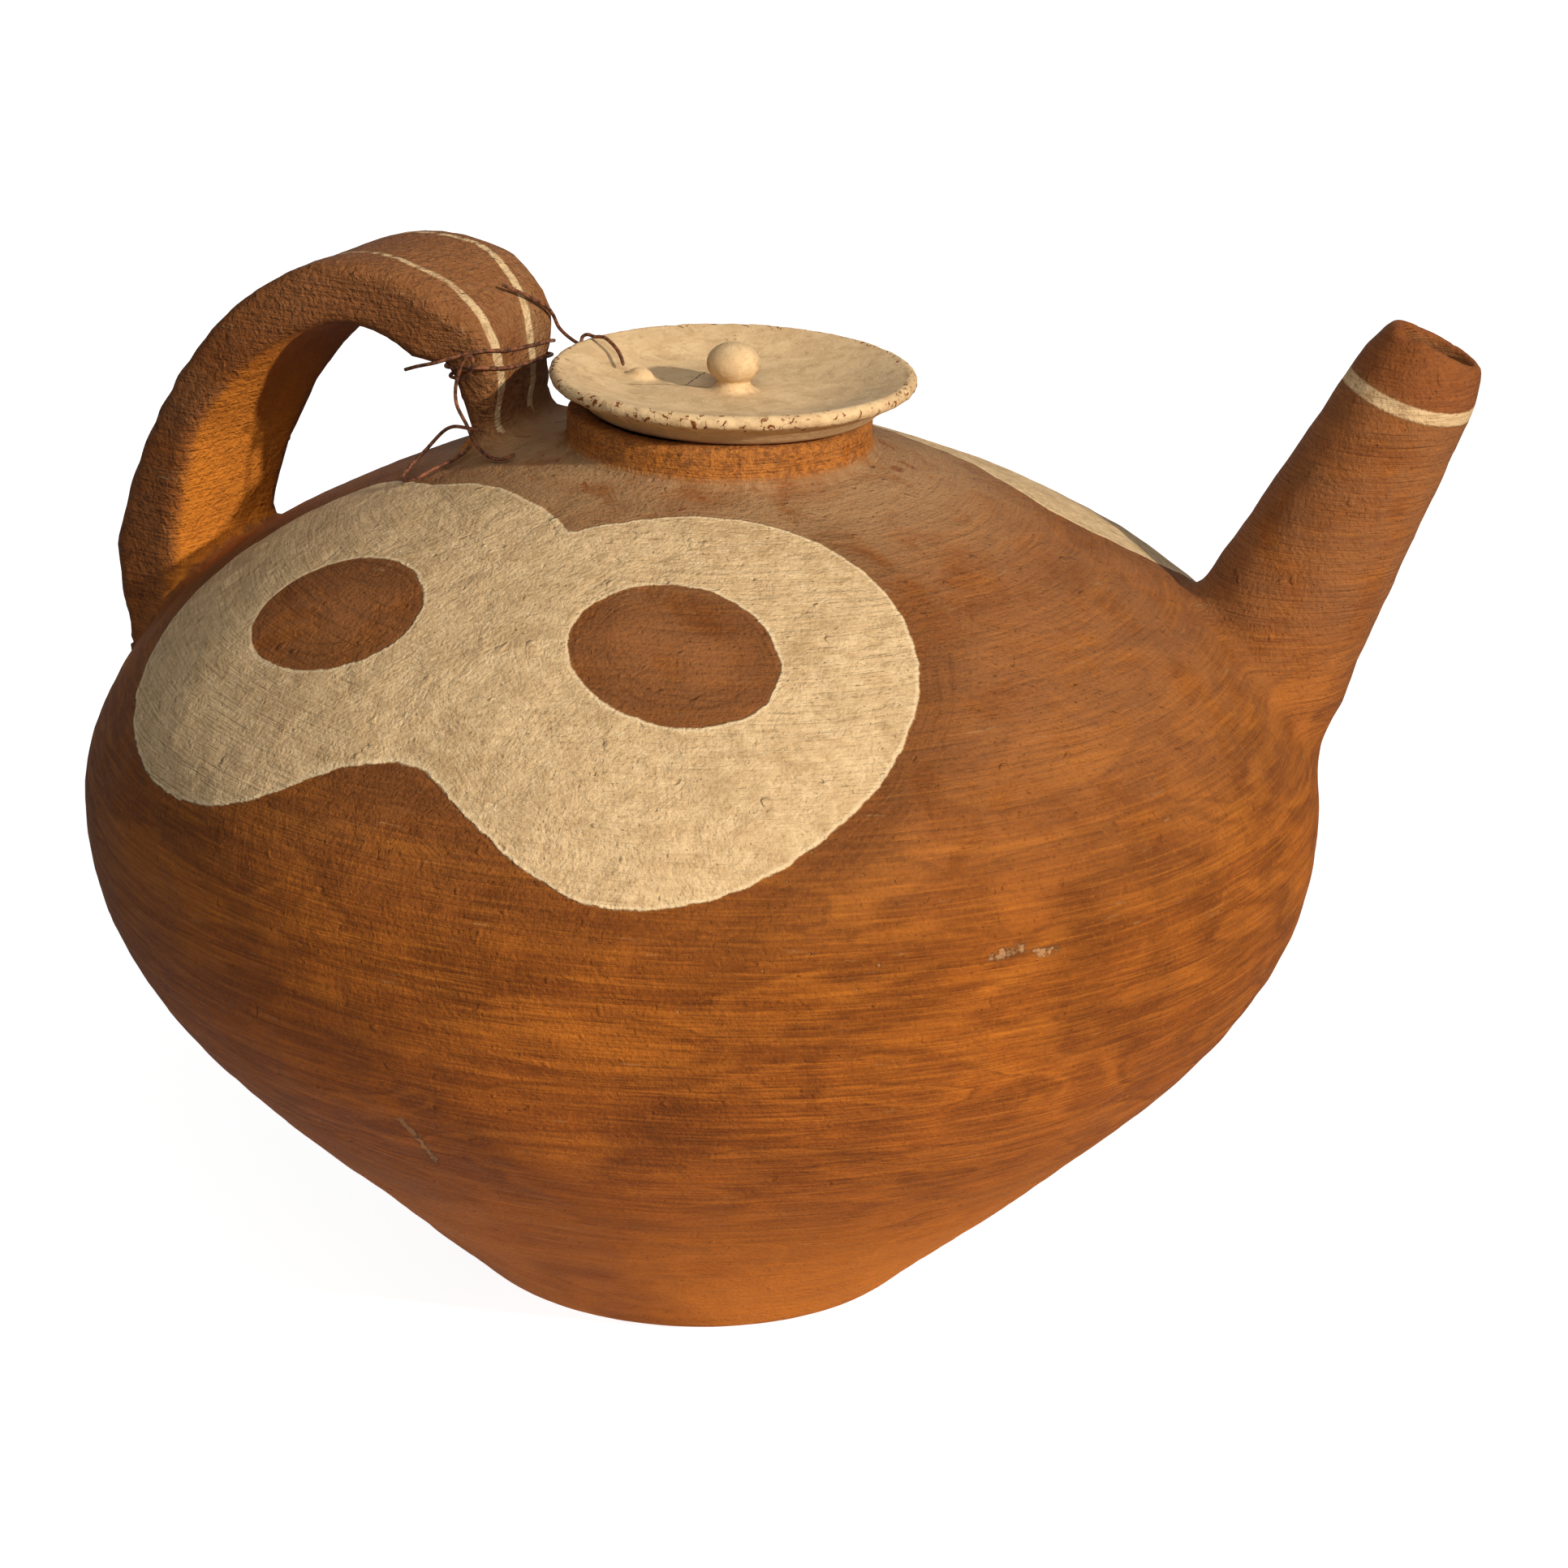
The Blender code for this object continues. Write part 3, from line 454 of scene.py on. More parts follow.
        gap = flat - read(self.line)
        normal = read(self.normals)
        normal /= np.linalg.norm(normal, axis=1)[:, None]
        lift = (gap * normal).sum(1)
        beyond = np.abs(gap[:, 0] * normal[:, 1] - gap[:, 1] * normal[:, 0])
        side = points @ self.near + read(self.sway)
        twist = read(self.twist)
        u = np.cos(twist) * side + np.sin(twist) * lift
        v = np.cos(twist) * lift - np.sin(twist) * side
        a = read(self.width) / 2 * self.slimming[0]
        b = read(self.thickness) / 2 * self.slimming[1]
        power = self.corner_power
        x, y = np.abs(u) / a, np.abs(v) / b
        total = np.maximum(x ** power + y ** power, 1e-9)
        slope = total ** (1 / power - 1) * np.hypot(x ** (power - 1) / a, y ** (power - 1) / b)
        near = (total ** (1 / power) - 1.0) / np.maximum(slope, 20.0)
        far = np.hypot(near, beyond) * np.sign(near) + np.where(near < 0, beyond, 0.0)
        return {"v": v, "level": v / b, "far": far}


@dataclass
class PotForm:
    """Whole pot as one distance function with soft joins.

    Attributes:
        body: The thrown body.
        spout: The spout.
        strap: The handle.
        collar_radius: Outer radius of the collar.
        collar_top: Its height.
        collar_wall: Its thickness.
        collar_centre: Place of its axis, a little off the body's.
        collar_sink: How far it reaches down into the body.
        mouth_base: Height from which the mouth is cut up through the collar.
        joins: Fillets of the collar, the spout and the strap with the body.
        rim_rounding: Rounding of the collar's edge.
        mouth_rounding: Rounding of the edges between inside and outside.
        chip_rounding: Rounding of the chip's edge.
        far: Distance that stands for a part too far off to be measured.
    """

    body: BodyForm = field(default_factory=BodyForm)
    spout: SpoutForm = field(default_factory=SpoutForm)
    strap: StrapForm = field(default_factory=StrapForm)
    collar_radius: float = 0.0492
    collar_top: float = 0.2898
    collar_wall: float = 0.0087
    collar_centre: Point2 = (0.0023, 0.0)
    collar_sink: float = 0.008
    mouth_base: float = 0.24
    joins: Point3 = (0.004, 0.007, 0.010)
    rim_rounding: float = 3.0 * MM
    mouth_rounding: float = 2.0 * MM
    chip_rounding: float = 1.0 * MM
    far: float = 0.1

    def __post_init__(self) -> None:
        """Stands the strap on the body."""
        self.strap.measure(self.body)

    def outside(self, points: np.ndarray) -> np.ndarray:
        """Distance to the pot without its hollows."""
        radius = np.hypot(points[:, 0] - self.collar_centre[0], points[:, 1])
        base = self.body.shoulder - self.collar_sink
        ring = smooth_max(radius - self.collar_radius, points[:, 2] - self.collar_top,
                          self.rim_rounding)
        ring = np.maximum(ring, base - points[:, 2])
        whole = smooth_min(self.body.outer.at(points), ring, self.joins[0])
        near_spout = points[:, 0] > self.spout.starts
        spout = np.full(len(points), self.far)
        spout[near_spout] = self.spout.outer(points[near_spout])
        whole = smooth_min(whole, spout, self.joins[1])
        near_strap = self.strap.reaches(points) & (points[:, 2] > self.strap.starts[1])
        strap = np.full(len(points), self.far)
        strap[near_strap] = self.strap.own(points[near_strap])["far"]
        return smooth_min(whole, strap, self.joins[2])

    def inside(self, points: np.ndarray) -> np.ndarray:
        """Distance to the hollow, the mouth and the spout's bore together."""
        radius = np.hypot(points[:, 0] - self.collar_centre[0], points[:, 1])
        mouth = np.maximum(radius - (self.collar_radius - self.collar_wall),
                           self.mouth_base - points[:, 2])
        room = np.minimum(self.body.hollow.at(points), mouth)
        return np.minimum(room, self.spout.hollow(points))

    def __call__(self, points: np.ndarray) -> np.ndarray:
        """Distance to the pot's whole surface."""
        solid = smooth_max(self.outside(points), -self.inside(points), self.mouth_rounding)
        return smooth_max(solid, -self.spout.chip(points), self.chip_rounding)


@dataclass
class LidForm:
    """Saucer lid with its ball knob and the nub that takes the wire."""

    centre: Point2 = (0.0062, 0.0)
    bottom: float = 0.2901
    radius: float = 0.0585
    foot: float = 0.0462
    height: float = 0.0122
    lip: float = 0.0050
    floor: float = 0.0055
    floor_radius: float = 0.0270
    undercut: Point2 = (0.0075, 0.0046)
    knob: tuple[float, float, float, float] = (0.0087, 0.0054, 0.0150, 0.0134)
    flare: float = 0.0032
    nub_reach: float = 0.0312
    nub_direction: float = 161.0
    nub_size: tuple[float, float, float] = (0.0090, 0.0060, 0.0032)

    def __post_init__(self) -> None:
        """Draws the lid's outline and measures it."""
        floor = self.bottom + self.floor
        radius, neck, height, ball = self.knob
        middle = floor + height - ball / 2
        start = math.degrees(math.acos(neck / radius))
        knob = [Vector((radius * p.x, middle + ball / 2 * p.y))
                for p in arc(Vector((0.0, 0.0)), 1.0, 90.0, -start, 24)]
        hollow = Vector((neck + self.flare, floor + self.flare))
        knob += [p for p in arc(hollow, self.flare, 180.0, 270.0, 8) if p.y < knob[-1].y]
        half = self.lip / 2
        rim_centre = Vector((self.radius - half, self.bottom + self.height - half))
        rim = arc(rim_centre, half, 125.0, -50.0, 16)
        dish = Vector((self.floor_radius, floor))
        rise = rim[0] - dish
        bowl = bezier(dish, dish + Vector((0.5 * rise.x, 0.06 * rise.y)), rim[0] - 0.3 * rise,
                      rim[0], 12)
        under = [Vector((self.radius - self.undercut[0], self.bottom + self.undercut[1])),
                 Vector((self.foot, self.bottom + 0.3 * MM)),
                 Vector((self.foot - 0.6 * MM, self.bottom)), Vector((0.0, self.bottom))]
        self.dish = knob[-1:] + bowl + rim
        self.shape = TurnedShape(knob + bowl + rim[1:] + under, 0.25 * MM, 0.006)
        turn = math.radians(self.nub_direction)
        self.nub_way = np.array((math.cos(turn), math.sin(turn)))
        heights = [p.y for p in self.dish]
        nub_height = float(np.interp(self.nub_reach, [p.x for p in self.dish], heights))
        place = np.array(self.centre) + self.nub_reach * self.nub_way
        self.nub_centre = np.array((place[0], place[1], nub_height))

    def __call__(self, points: np.ndarray) -> np.ndarray:
        """Distance to the lid's surface."""
        whole = self.shape.at(points, self.centre)
        gap = points - self.nub_centre
        along = gap[:, 0] * self.nub_way[0] + gap[:, 1] * self.nub_way[1]
        across = gap[:, 1] * self.nub_way[0] - gap[:, 0] * self.nub_way[1]
        length, width, height = self.nub_size
        unit = np.sqrt((2 * along / length) ** 2 + (2 * across / width) ** 2
                       + (gap[:, 2] / height) ** 2)
        nub = (unit - 1.0) * height
        return smooth_min(whole, nub, 1.5 * MM)


def node_copy(name: str) -> bmesh.types.BMesh:
    """Merged copy of a CAD node's mesh, its loose triangles joined."""
    bm = bmesh.new()
    bm.from_mesh(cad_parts[name].data)
    bmesh.ops.remove_doubles(bm, verts=bm.verts, dist=0.01 * MM)
    bmesh.ops.recalc_face_normals(bm, faces=bm.faces)
    return bm


def new_object(name: str, data: bpy.types.ID) -> bpy.types.Object:
    """Object of some data, linked to the scene."""
    result = bpy.data.objects.new(name, data)
    bpy.context.scene.collection.objects.link(result)
    return result


def dress(mesh: bpy.types.Mesh, material: bpy.types.Material) -> None:
    """Shades a mesh smooth and gives it its only material."""
    mesh.polygons.foreach_set("use_smooth", np.ones(len(mesh.polygons), bool))
    mesh.materials.clear()
    mesh.materials.append(material)


def applied(piece: bpy.types.Object) -> bpy.types.Mesh:
    """Mesh of a piece with its modifiers applied, in place of its old one."""
    bpy.context.view_layer.update()
    shown = piece.evaluated_get(bpy.context.evaluated_depsgraph_get())
    fine = bpy.data.meshes.new_from_object(shown)
    old = piece.data
    piece.modifiers.clear()
    piece.vertex_groups.clear()
    piece.data = fine
    bpy.data.meshes.remove(old)
    fine.name = piece.name
    return fine


def fine_mesh(name: str, bm: bmesh.types.BMesh, voxel: float) -> bpy.types.Object:
    """Even fine mesh of a closed solid, as a new object.

    Args:
        name: Name of the new piece.
        bm: The closed solid; it is freed.
        voxel: Size of the new faces.

    Returns:
        The object, linked to the scene.
    """
    coarse = bpy.data.meshes.new(name + "_coarse")
    bm.to_mesh(coarse)
    bm.free()
    piece = new_object(name, coarse)
    remesh = piece.modifiers.new("even", "REMESH")
    remesh.mode = "VOXEL"
    remesh.voxel_size = voxel * 1.0
    applied(piece)
    return piece


def places(mesh: bpy.types.Mesh) -> np.ndarray:
    """Vertex positions as an array."""
    flat = np.empty(len(mesh.vertices) * 3)
    mesh.vertices.foreach_get("co", flat)
    return flat.reshape(-1, 3)


def put_places(mesh: bpy.types.Mesh, points: np.ndarray) -> None:
    """Writes vertex positions back."""
    mesh.vertices.foreach_set("co", points.astype(float).ravel())
    mesh.update()


def normals(mesh: bpy.types.Mesh) -> np.ndarray:
    """Vertex normals as an array."""
    flat = np.empty(len(mesh.vertices) * 3)
    mesh.vertex_normals.foreach_get("vector", flat)
    return flat.reshape(-1, 3)


def draw_onto(mesh: bpy.types.Mesh, surface: Distance, rounds: int) -> None:
    """Moves vertices onto the zero surface of a distance function.

    Args:
        mesh: Mesh that already lies close to the surface.
        surface: The distance function.
        rounds: Number of corrections.
    """
    points = places(mesh)
    step = 0.05 * MM
    for _ in range(rounds):
        here = surface(points)
        slope = np.empty_like(points)
        for axis in range(3):
            moved = points.copy()
            moved[:, axis] += step
            slope[:, axis] = (surface(moved) - here) / step
        square = np.maximum((slope * slope).sum(1), 0.25)
        shift = -(here / square)[:, None] * slope
        length = np.linalg.norm(shift, axis=1)
        limit = np.minimum(1.0, 3.0 * MM / np.maximum(length, 1e-9))
        points = points + shift * limit[:, None]
    put_places(mesh, points)


def refine(mesh: bpy.types.Mesh, chosen: np.ndarray) -> None:
    """Splits the faces whose vertices are all chosen, once."""
    bm = bmesh.new()
    bm.from_mesh(mesh)
    bm.verts.ensure_lookup_table()
    faces = [f for f in bm.faces if all(chosen[v.index] for v in f.verts)]
    edges = list({e for f in faces for e in f.edges})
    bmesh.ops.subdivide_edges(bm, edges=edges, cuts=1, use_grid_fill=True)
    bm.to_mesh(mesh)
    bm.free()


def store(mesh: bpy.types.Mesh, name: str, values: np.ndarray) -> None:
    """Stores a number for each vertex under a name that the shader reads."""
    layer = mesh.attributes.new(name, "FLOAT", "POINT")
    layer.data.foreach_set("value", values.astype(np.float32))


def hand_noise(points: np.ndarray, size: float, seed: float, octaves: int = 3) -> np.ndarray:
    """Smooth noise of about one at most, with features of a given size."""
    shift = Vector((seed, 1.7 * seed, -0.6 * seed))
    scale = 1.0 / size
    return np.array([noise.fractal(Vector(p) * scale + shift, 0.9, 2.0, octaves) for p in points])


class Side(Enum):
    """The two faces of the body that carry the slip pattern."""

    FRONT = 0.0
    BACK = 190.0


@dataclass(frozen=True)
class Lobe:
    """One lobe of the slip pattern, in millimetres on the unrolled shoulder.

    Attributes:
        centre: Its middle.
        reach: Pairs of direction in degrees and distance to the edge.
        oval: Half length, half width and direction of the oval left bare inside it.
    """

    centre: Point2
    reach: tuple[Point2, ...]
    oval: tuple[float, float, float]

    def outline(self, count: int = 96) -> np.ndarray:
        """Corners of the lobe's smooth edge."""
        keys = np.array(self.reach)
        angles = np.arange(count) * 360.0 / count
        turns = np.concatenate([keys[:, 0] - 360, keys[:, 0], keys[:, 0] + 360])
        radii = np.tile(keys[:, 1], 3)
        raw = np.interp(angles, turns, radii)
        soft = sum(np.roll(raw, k) * w for k, w in ((-2, 1), (-1, 3), (0, 4), (1, 3), (2, 1))) / 12
        turn = np.radians(angles)
        return np.array(self.centre) + soft[:, None] * np.stack([np.cos(turn), np.sin(turn)], 1)

    def oval_distance(self, flat: np.ndarray) -> np.ndarray:
        """Distance to the bare oval, below zero inside."""
        length, width, direction = self.oval
        turn = math.radians(direction)
        gap = flat - np.array(self.centre)
        a = gap[:, 0] * math.cos(turn) + gap[:, 1] * math.sin(turn)
        b = gap[:, 1] * math.cos(turn) - gap[:, 0] * math.sin(turn)
        unit = np.hypot(a / length, b / width)
        slope = np.hypot(a / length ** 2, b / width ** 2) / np.maximum(unit, 0.05)
        return (unit - 1.0) / np.maximum(slope, 0.02)


@dataclass(frozen=True)
class Ornament:
    """Cream slip pattern on the body, and the stripes on handle and spout."""

    left: Lobe = Lobe(
        (-119.6, -79.2),
        ((0, 78), (30, 70), (45, 70.7), (60, 72), (69, 74), (86, 98), (111, 99), (129, 94),
         (150, 89), (167, 83), (181, 79), (218, 76), (243, 74), (269, 70), (279, 72), (300, 62),
         (330, 60)),
        (34.6, 25.1, -46.7))
    right: Lobe = Lobe(
        (-10.1, -130.6),
        ((1, 77), (23, 75), (50, 71), (77, 65), (103, 64), (117, 68), (150, 70), (180, 90),
         (203, 83), (225, 84), (253, 90), (275, 87), (308, 80), (336, 77)),
        (34.5, 27.8, -31.8))
    near_stripe: tuple[Point2, ...] = (
        (96, 9.0), (102, 9.9), (110, 14.4), (118, 14.8), (125, 17), (131, 19.5), (136, 18.7),
        (141, 14.2), (146, 14.0), (160, 12.0), (200, 9.0))
    far_stripe: tuple[Point2, ...] = (
        (96, -19.0), (116, -18.3), (120, -14.3), (125, -11.6), (130, -7.1), (134, -4.6),
        (137, -5.0), (143, -12.6), (160, -13.0), (200, -14.0))
    stripe_widths: tuple[Point2, ...] = ((96, 2.2), (118, 3.2), (132, 4.8), (160, 4.2), (200, 3.4))
    band: tuple[float, float, float, float] = (96.6, 2.3, 4.15, 2.25)

    def slip(self, flat: np.ndarray) -> np.ndarray:
        """Distance into the slip of both faces, above zero where there is slip."""
        best = np.full(len(flat), -1e3)
        for side in Side:
            turn = math.radians(-side.value)
            spun = np.stack([flat[:, 0] * math.cos(turn) - flat[:, 1] * math.sin(turn),
                             flat[:, 0] * math.sin(turn) + flat[:, 1] * math.cos(turn)], 1)
            near = np.hypot(spun[:, 0] + 70, spun[:, 1] + 110) < 260
            part = np.full(len(flat), -1e3)
            lobes = [polygon_distance(spun[near], lobe.outline())
                     for lobe in (self.left, self.right)]
            low = np.clip((-spun[near][:, 1] - 90.0) / 40.0, 0.0, 1.0)
            patch = -smooth_min(lobes[0], lobes[1], 2.0 + 34.0 * low * low * (3.0 - 2.0 * low))
            bare = np.minimum(self.left.oval_distance(spun[near]),
                              self.right.oval_distance(spun[near]))
            part[near] = np.minimum(patch, bare)
            best = np.maximum(best, part)
        return best


@dataclass(frozen=True)
class ClayFinish:
    """Iron-rich earthenware under a thin brushed ochre slip, low fired and unglazed.

    Such a surface is matte. It goes from orange where the slip is thin to a duller brown with
    grey dust where it lies flat, with dark iron specks and pinholes where grit fired out.
    """

    ochre: str = "#9A561B"
    orange: str = "#C67827"
    brown: str = "#7C4213"
    dusty: str = "#8C5F3D"
    ash: str = "#A48560"
    red: str = "#7B3F1D"
    dark: str = "#472206"
    roughness: float = 0.86
    patchiness: float = 0.06
    relief: float = 2.0
    stroke_gap: float = 1.3


@dataclass(frozen=True)
class SlipFinish:
    """Cream slip of white clay brushed over the brown body and fired matte.

    It is opaque where thick, warmer where thin, with small lumps and pinholes.
    """

    light: str = "#D6BA90"
    mid: str = "#C6A87F"
    thin: str = "#A88A62"
    edge: str = "#E6CEA6"
    roughness: float = 0.80
    relief: float = 0.7


@dataclass(frozen=True)
class WireFinish:
    """Annealed iron tie wire, rusted all over: dull, dark and brown at its high spots."""

    dark: str = "#4A3328"
    rust: str = "#8E5A40"
    roughness: float = 0.75
    metallic: float = 0.25
    relief: float = 0.25


class Zone(NamedTuple):
    """Where something lies, as an eased share of a grain or a stored measure.

    Attributes:
        source: Name of the grain or measure.
        start: Its value where the zone starts.
        full: Its value where the zone is full.
        least: Share before the start.
        most: Share where it is full.
    """

    source: str
    start: float
    full: float
    least: float = 0.0
    most: float = 1.0


class Coat(NamedTuple):
    """Thin coat of one colour over those before it.

    Attributes:
        tint: Name of its colour.
        share: How much of it shows where it is full.
        zones: Where it lies, a bare name standing for the measure as it is.
    """

    tint: str
    share: float
    zones: tuple[Zone | str, ...]


class Ridge(NamedTuple):
    """Part of the relief, with a height below zero where it is cut in."""

    height: float
    zones: tuple[Zone | str, ...]


@dataclass(frozen=True)
class Grain:
    """Uneven pattern in a surface, such as brush marks, clouding or grit.

    Attributes:
        size: Size of its features in millimetres.
        detail: Number of finer levels in it.
        rough: Weight of the finer levels.
        warp: How far it is bent.
        stretch: Scale along each axis, below one where the marks are drawn out.
        turn: Turn of those axes in radians.
    """

    size: float
    detail: float = 4.0
    rough: float = 0.55
    warp: float = 0.0
    stretch: Point3 = (1.0, 1.0, 1.0)
    turn: Point3 = (0.0, 0.0, 0.0)


# Marks in the brown clay, from wide clouding down to bristle lines about 1 mm apart
CLAY_GRAINS = {
    "broad": Grain(60.0, 3.0),
    "mass": Grain(33.0, 3.0, 0.6, 0.8),
    "arcs": Grain(24.0, 2.0, 0.45, 1.6, (0.22, 0.22, 1.0), (0.35, 0.30, 0.0)),
    "cloud": Grain(20.0, 5.0, 0.62, 0.5),
    "wipe": Grain(16.0, 5.0, 0.70, 1.2, (0.14, 0.14, 1.0), (-0.36, 0.30, 0.2)),
    "drift": Grain(14.0, 2.0),
    "blots": Grain(11.0, 3.0, 0.5, 1.2),
    "wander": Grain(7.0, 3.0),
    "sweep": Grain(5.5, 5.0, 0.66, 0.9, (0.07, 0.07, 1.0), (0.16, -0.10, 0.0)),
    "grains": Grain(5.2, 1.0, 0.5),
    "brush": Grain(4.5, 5.0, 0.68, 0.5, (0.45, 0.45, 1.0), (0.25, -0.20, 0.4)),
    "mottle": Grain(3.4, 4.0, 0.62, 0.8),
    "swirl": Grain(3.2, 4.0, 0.6, 2.2),
    "rubbed": Grain(2.6, 3.0, 0.65, 0.6),
    "grit": Grain(1.7, 1.0),
    "scratch": Grain(1.5, 2.0, 0.5, 0.4, (0.10, 0.10, 1.0), (0.30, -0.28, 0.3)),
    "fine": Grain(1.3, 4.0, 0.62),
    "bristle": Grain(0.9, 3.0, 0.60, 0.3, (0.03, 0.03, 1.0), (0.08, -0.05, 0.0)),
}
CLAY_MEASURES = ("slip", "stripe", "scar", "neck", "collar", "nose", "handle", "painted_lit_inside")
SPECKS = Zone("grit", 0.76, 0.82)
CREAM_COATS = (
    Coat("light", 1.00, (Zone("brush", 0.34, 0.66),)),
    Coat("thin", 0.45, (Zone("cloud", 0.50, 0.72),)),
    Coat("thin", 0.42, (Zone("fine", 0.54, 0.74),)),
    Coat("thin", 0.50, (Zone("mottle", 0.50, 0.68),)),
    Coat("edge", 0.45, (Zone("mottle", 0.46, 0.30),)),
    # Thicker slip along the painted edge, lighter partly as a painted highlight where its raised
    # edge catches the light
    Coat("edge", 0.62, (Zone("border", 1.7, 0.8), Zone("border", -0.3, 0.3))),
    Coat("brown", 0.60, (SPECKS,)),
    Coat("thin", 0.28, (Zone("bristle", 0.56, 0.76),)),
)
CLAY_COATS = (
    # Ochre slip brushed over brown clay in long sweeps
    Coat("ochre", 1.00, (Zone("cloud", 0.30, 0.70),)),
    Coat("orange", 0.30, (Zone("sweep", 0.48, 0.70),)),
    Coat("dark", 0.30, (Zone("sweep", 0.42, 0.28),)),
    Coat("orange", 0.30, (Zone("wipe", 0.50, 0.66),)),
    Coat("dark", 0.26, (Zone("wipe", 0.46, 0.32),)),
    Coat("dark", 0.34, (Zone("contour", 0.050, 0.006), Zone("cloud", 0.38, 0.60))),
    Coat("dark", 0.34, (Zone("broad", 0.44, 0.64),)),
    Coat("orange", 0.22, (Zone("arcs", 0.50, 0.58), Zone("arcs", 0.66, 0.58))),
    Coat("dark", 0.30, (Zone("bristle", 0.45, 0.72),)),
    # Orange along the bristle lines: partly brush marks in the slip, partly painted fine glints
    Coat("orange", 0.32, (Zone("bristle", 0.50, 0.28),)),
    # Orange clay towards the foot, lighter there partly as painted bounce light from the ground;
    # dust on the shoulder
    Coat("orange", 0.85, (Zone("height", 110.0, 10.0), Zone("broad", 0.30, 0.60, 0.30))),
    Coat("dusty", 0.72, (Zone("height", 165.0, 250.0), Zone("cloud", 0.24, 0.60, 0.25))),
    # Strokes that follow the edge of the cream slip
    Coat("dark", 0.30, (Zone("rings", 0.44, 0.64),)),
    Coat("dark", 0.26, (Zone("slip", -26.0, -4.0),)),
    # Pale ash with red blots round the collar, the swirled collar and the redder nose
    Coat("ash", 0.80, (Zone("neck", 70.0, 4.0), Zone("cloud", 0.28, 0.58, 0.30))),
    Coat("red", 0.70, (Zone("blots", 0.60, 0.70), Zone("neck", 26.0, 8.0))),
    Coat("swirled", 0.75, ("collar",)),
    Coat("red", 0.45, (Zone("nose", 98.0, 100.5),)),
    # Handle: dull and rubbed outside, painted sunlit orange on the strap's inner faces, dusty on
    # top
    Coat("brown", 1.00, ("handle", Zone("mass", 0.35, 0.60, 0.20, 0.55))),
    Coat("dark", 0.45, ("handle", Zone("rubbed", 0.50, 0.34))),
    Coat("ash", 0.40, ("handle", Zone("rubbed", 0.62, 0.72))),
    # Painted light: a brighter orange on the strap's inner faces stands in for the low sun that
    # lights them
    Coat("orange", 1.00, ("painted_lit_inside", Zone("cloud", 0.25, 0.60, 0.65, 0.95))),
    Coat("dusty", 0.45, ("handle", Zone("height", 290.0, 325.0))),
    # Iron specks, pale flecks and scratches, then the fine mottling of bare clay
    Coat("dark", 0.70, (SPECKS,)),
    Coat("thin", 0.65, (Zone("grit", 0.235, 0.20), Zone("broad", 0.50, 0.62))),
    Coat("thin", 0.38, (Zone("scratch", 0.66, 0.76), Zone("mass", 0.46, 0.60))),
    Coat("mid", 0.40, ("scraped",)),
    Coat("dark", 0.30, (Zone("fine", 0.52, 0.74),)),
    Coat("orange", 0.20, (Zone("fine", 0.46, 0.28),)),
    # The painted ornament and the stripes
    Coat("cream", 1.00, ("cover",)),
    Coat("brushed", 1.00, ("striped",)),
)
CLAY_RIDGES = (
    Ridge(0.50, ("bristle",)),
    Ridge(0.42, ("fine",)),
    Ridge(1.00, ("cloud",)),
    Ridge(0.16, ("sweep",)),
    Ridge(-0.26, (Zone("grit", 0.30, 0.20),)),
    Ridge(0.22, ("rings",)),
    Ridge(-0.30, ("scraped",)),
    Ridge(1.00, ("handle", "rubbed")),
    Ridge(0.22, ("cover",)),
    Ridge(0.30, (Zone("grains", 0.70, 0.80),)),
    Ridge(-0.30, (Zone("grains", 0.27, 0.18),)),
    Ridge(0.18, ("striped",)),
)

LID_GRAINS = {
    "cloud": Grain(9.0, 5.0, 0.62, 0.8),
    "flakes": Grain(3.0, 4.0, 0.65, 0.9),
    "craze": Grain(2.4, 3.0),
    "swirl": Grain(2.2, 4.0, 0.6, 0.6, (0.35, 0.35, 1.0), (0.0, 0.0, 0.5)),
    "specks": Grain(1.5, 1.0),
    "fine": Grain(1.2, 4.0, 0.62),
}
LID_MEASURES = ("rim", "crack", "under")
HAIRLINE = Zone("hair", 0.28, 0.10)
FLAKED = Zone("flaking", 0.665, 0.70)
LID_COATS = (
    Coat("light", 1.00, (Zone("cloud", 0.34, 0.66),)),
    Coat("thin", 0.45, (Zone("swirl", 0.52, 0.68),)),
    Coat("ochre", 0.50, (Zone("fine", 0.62, 0.74),)),
    # Bare clay where the rim has flaked, hairline cracks, the underside without slip
    Coat("bare", 1.00, (FLAKED, Zone("rim", 0.05, 0.50))),
    Coat("dark", 0.85, (HAIRLINE,)),
    Coat("bare", 1.00, ("under",)),
    Coat("brown", 0.60, (Zone("specks", 0.72, 0.78),)),
)
LID_RIDGES = (
    Ridge(0.40, ("swirl",)),
    Ridge(0.35, ("fine",)),
    Ridge(-0.35, (HAIRLINE,)),
    Ridge(-0.20, (FLAKED,)),
)

WIRE_GRAINS = {"bloom": Grain(1.8, 4.0, 0.65)}


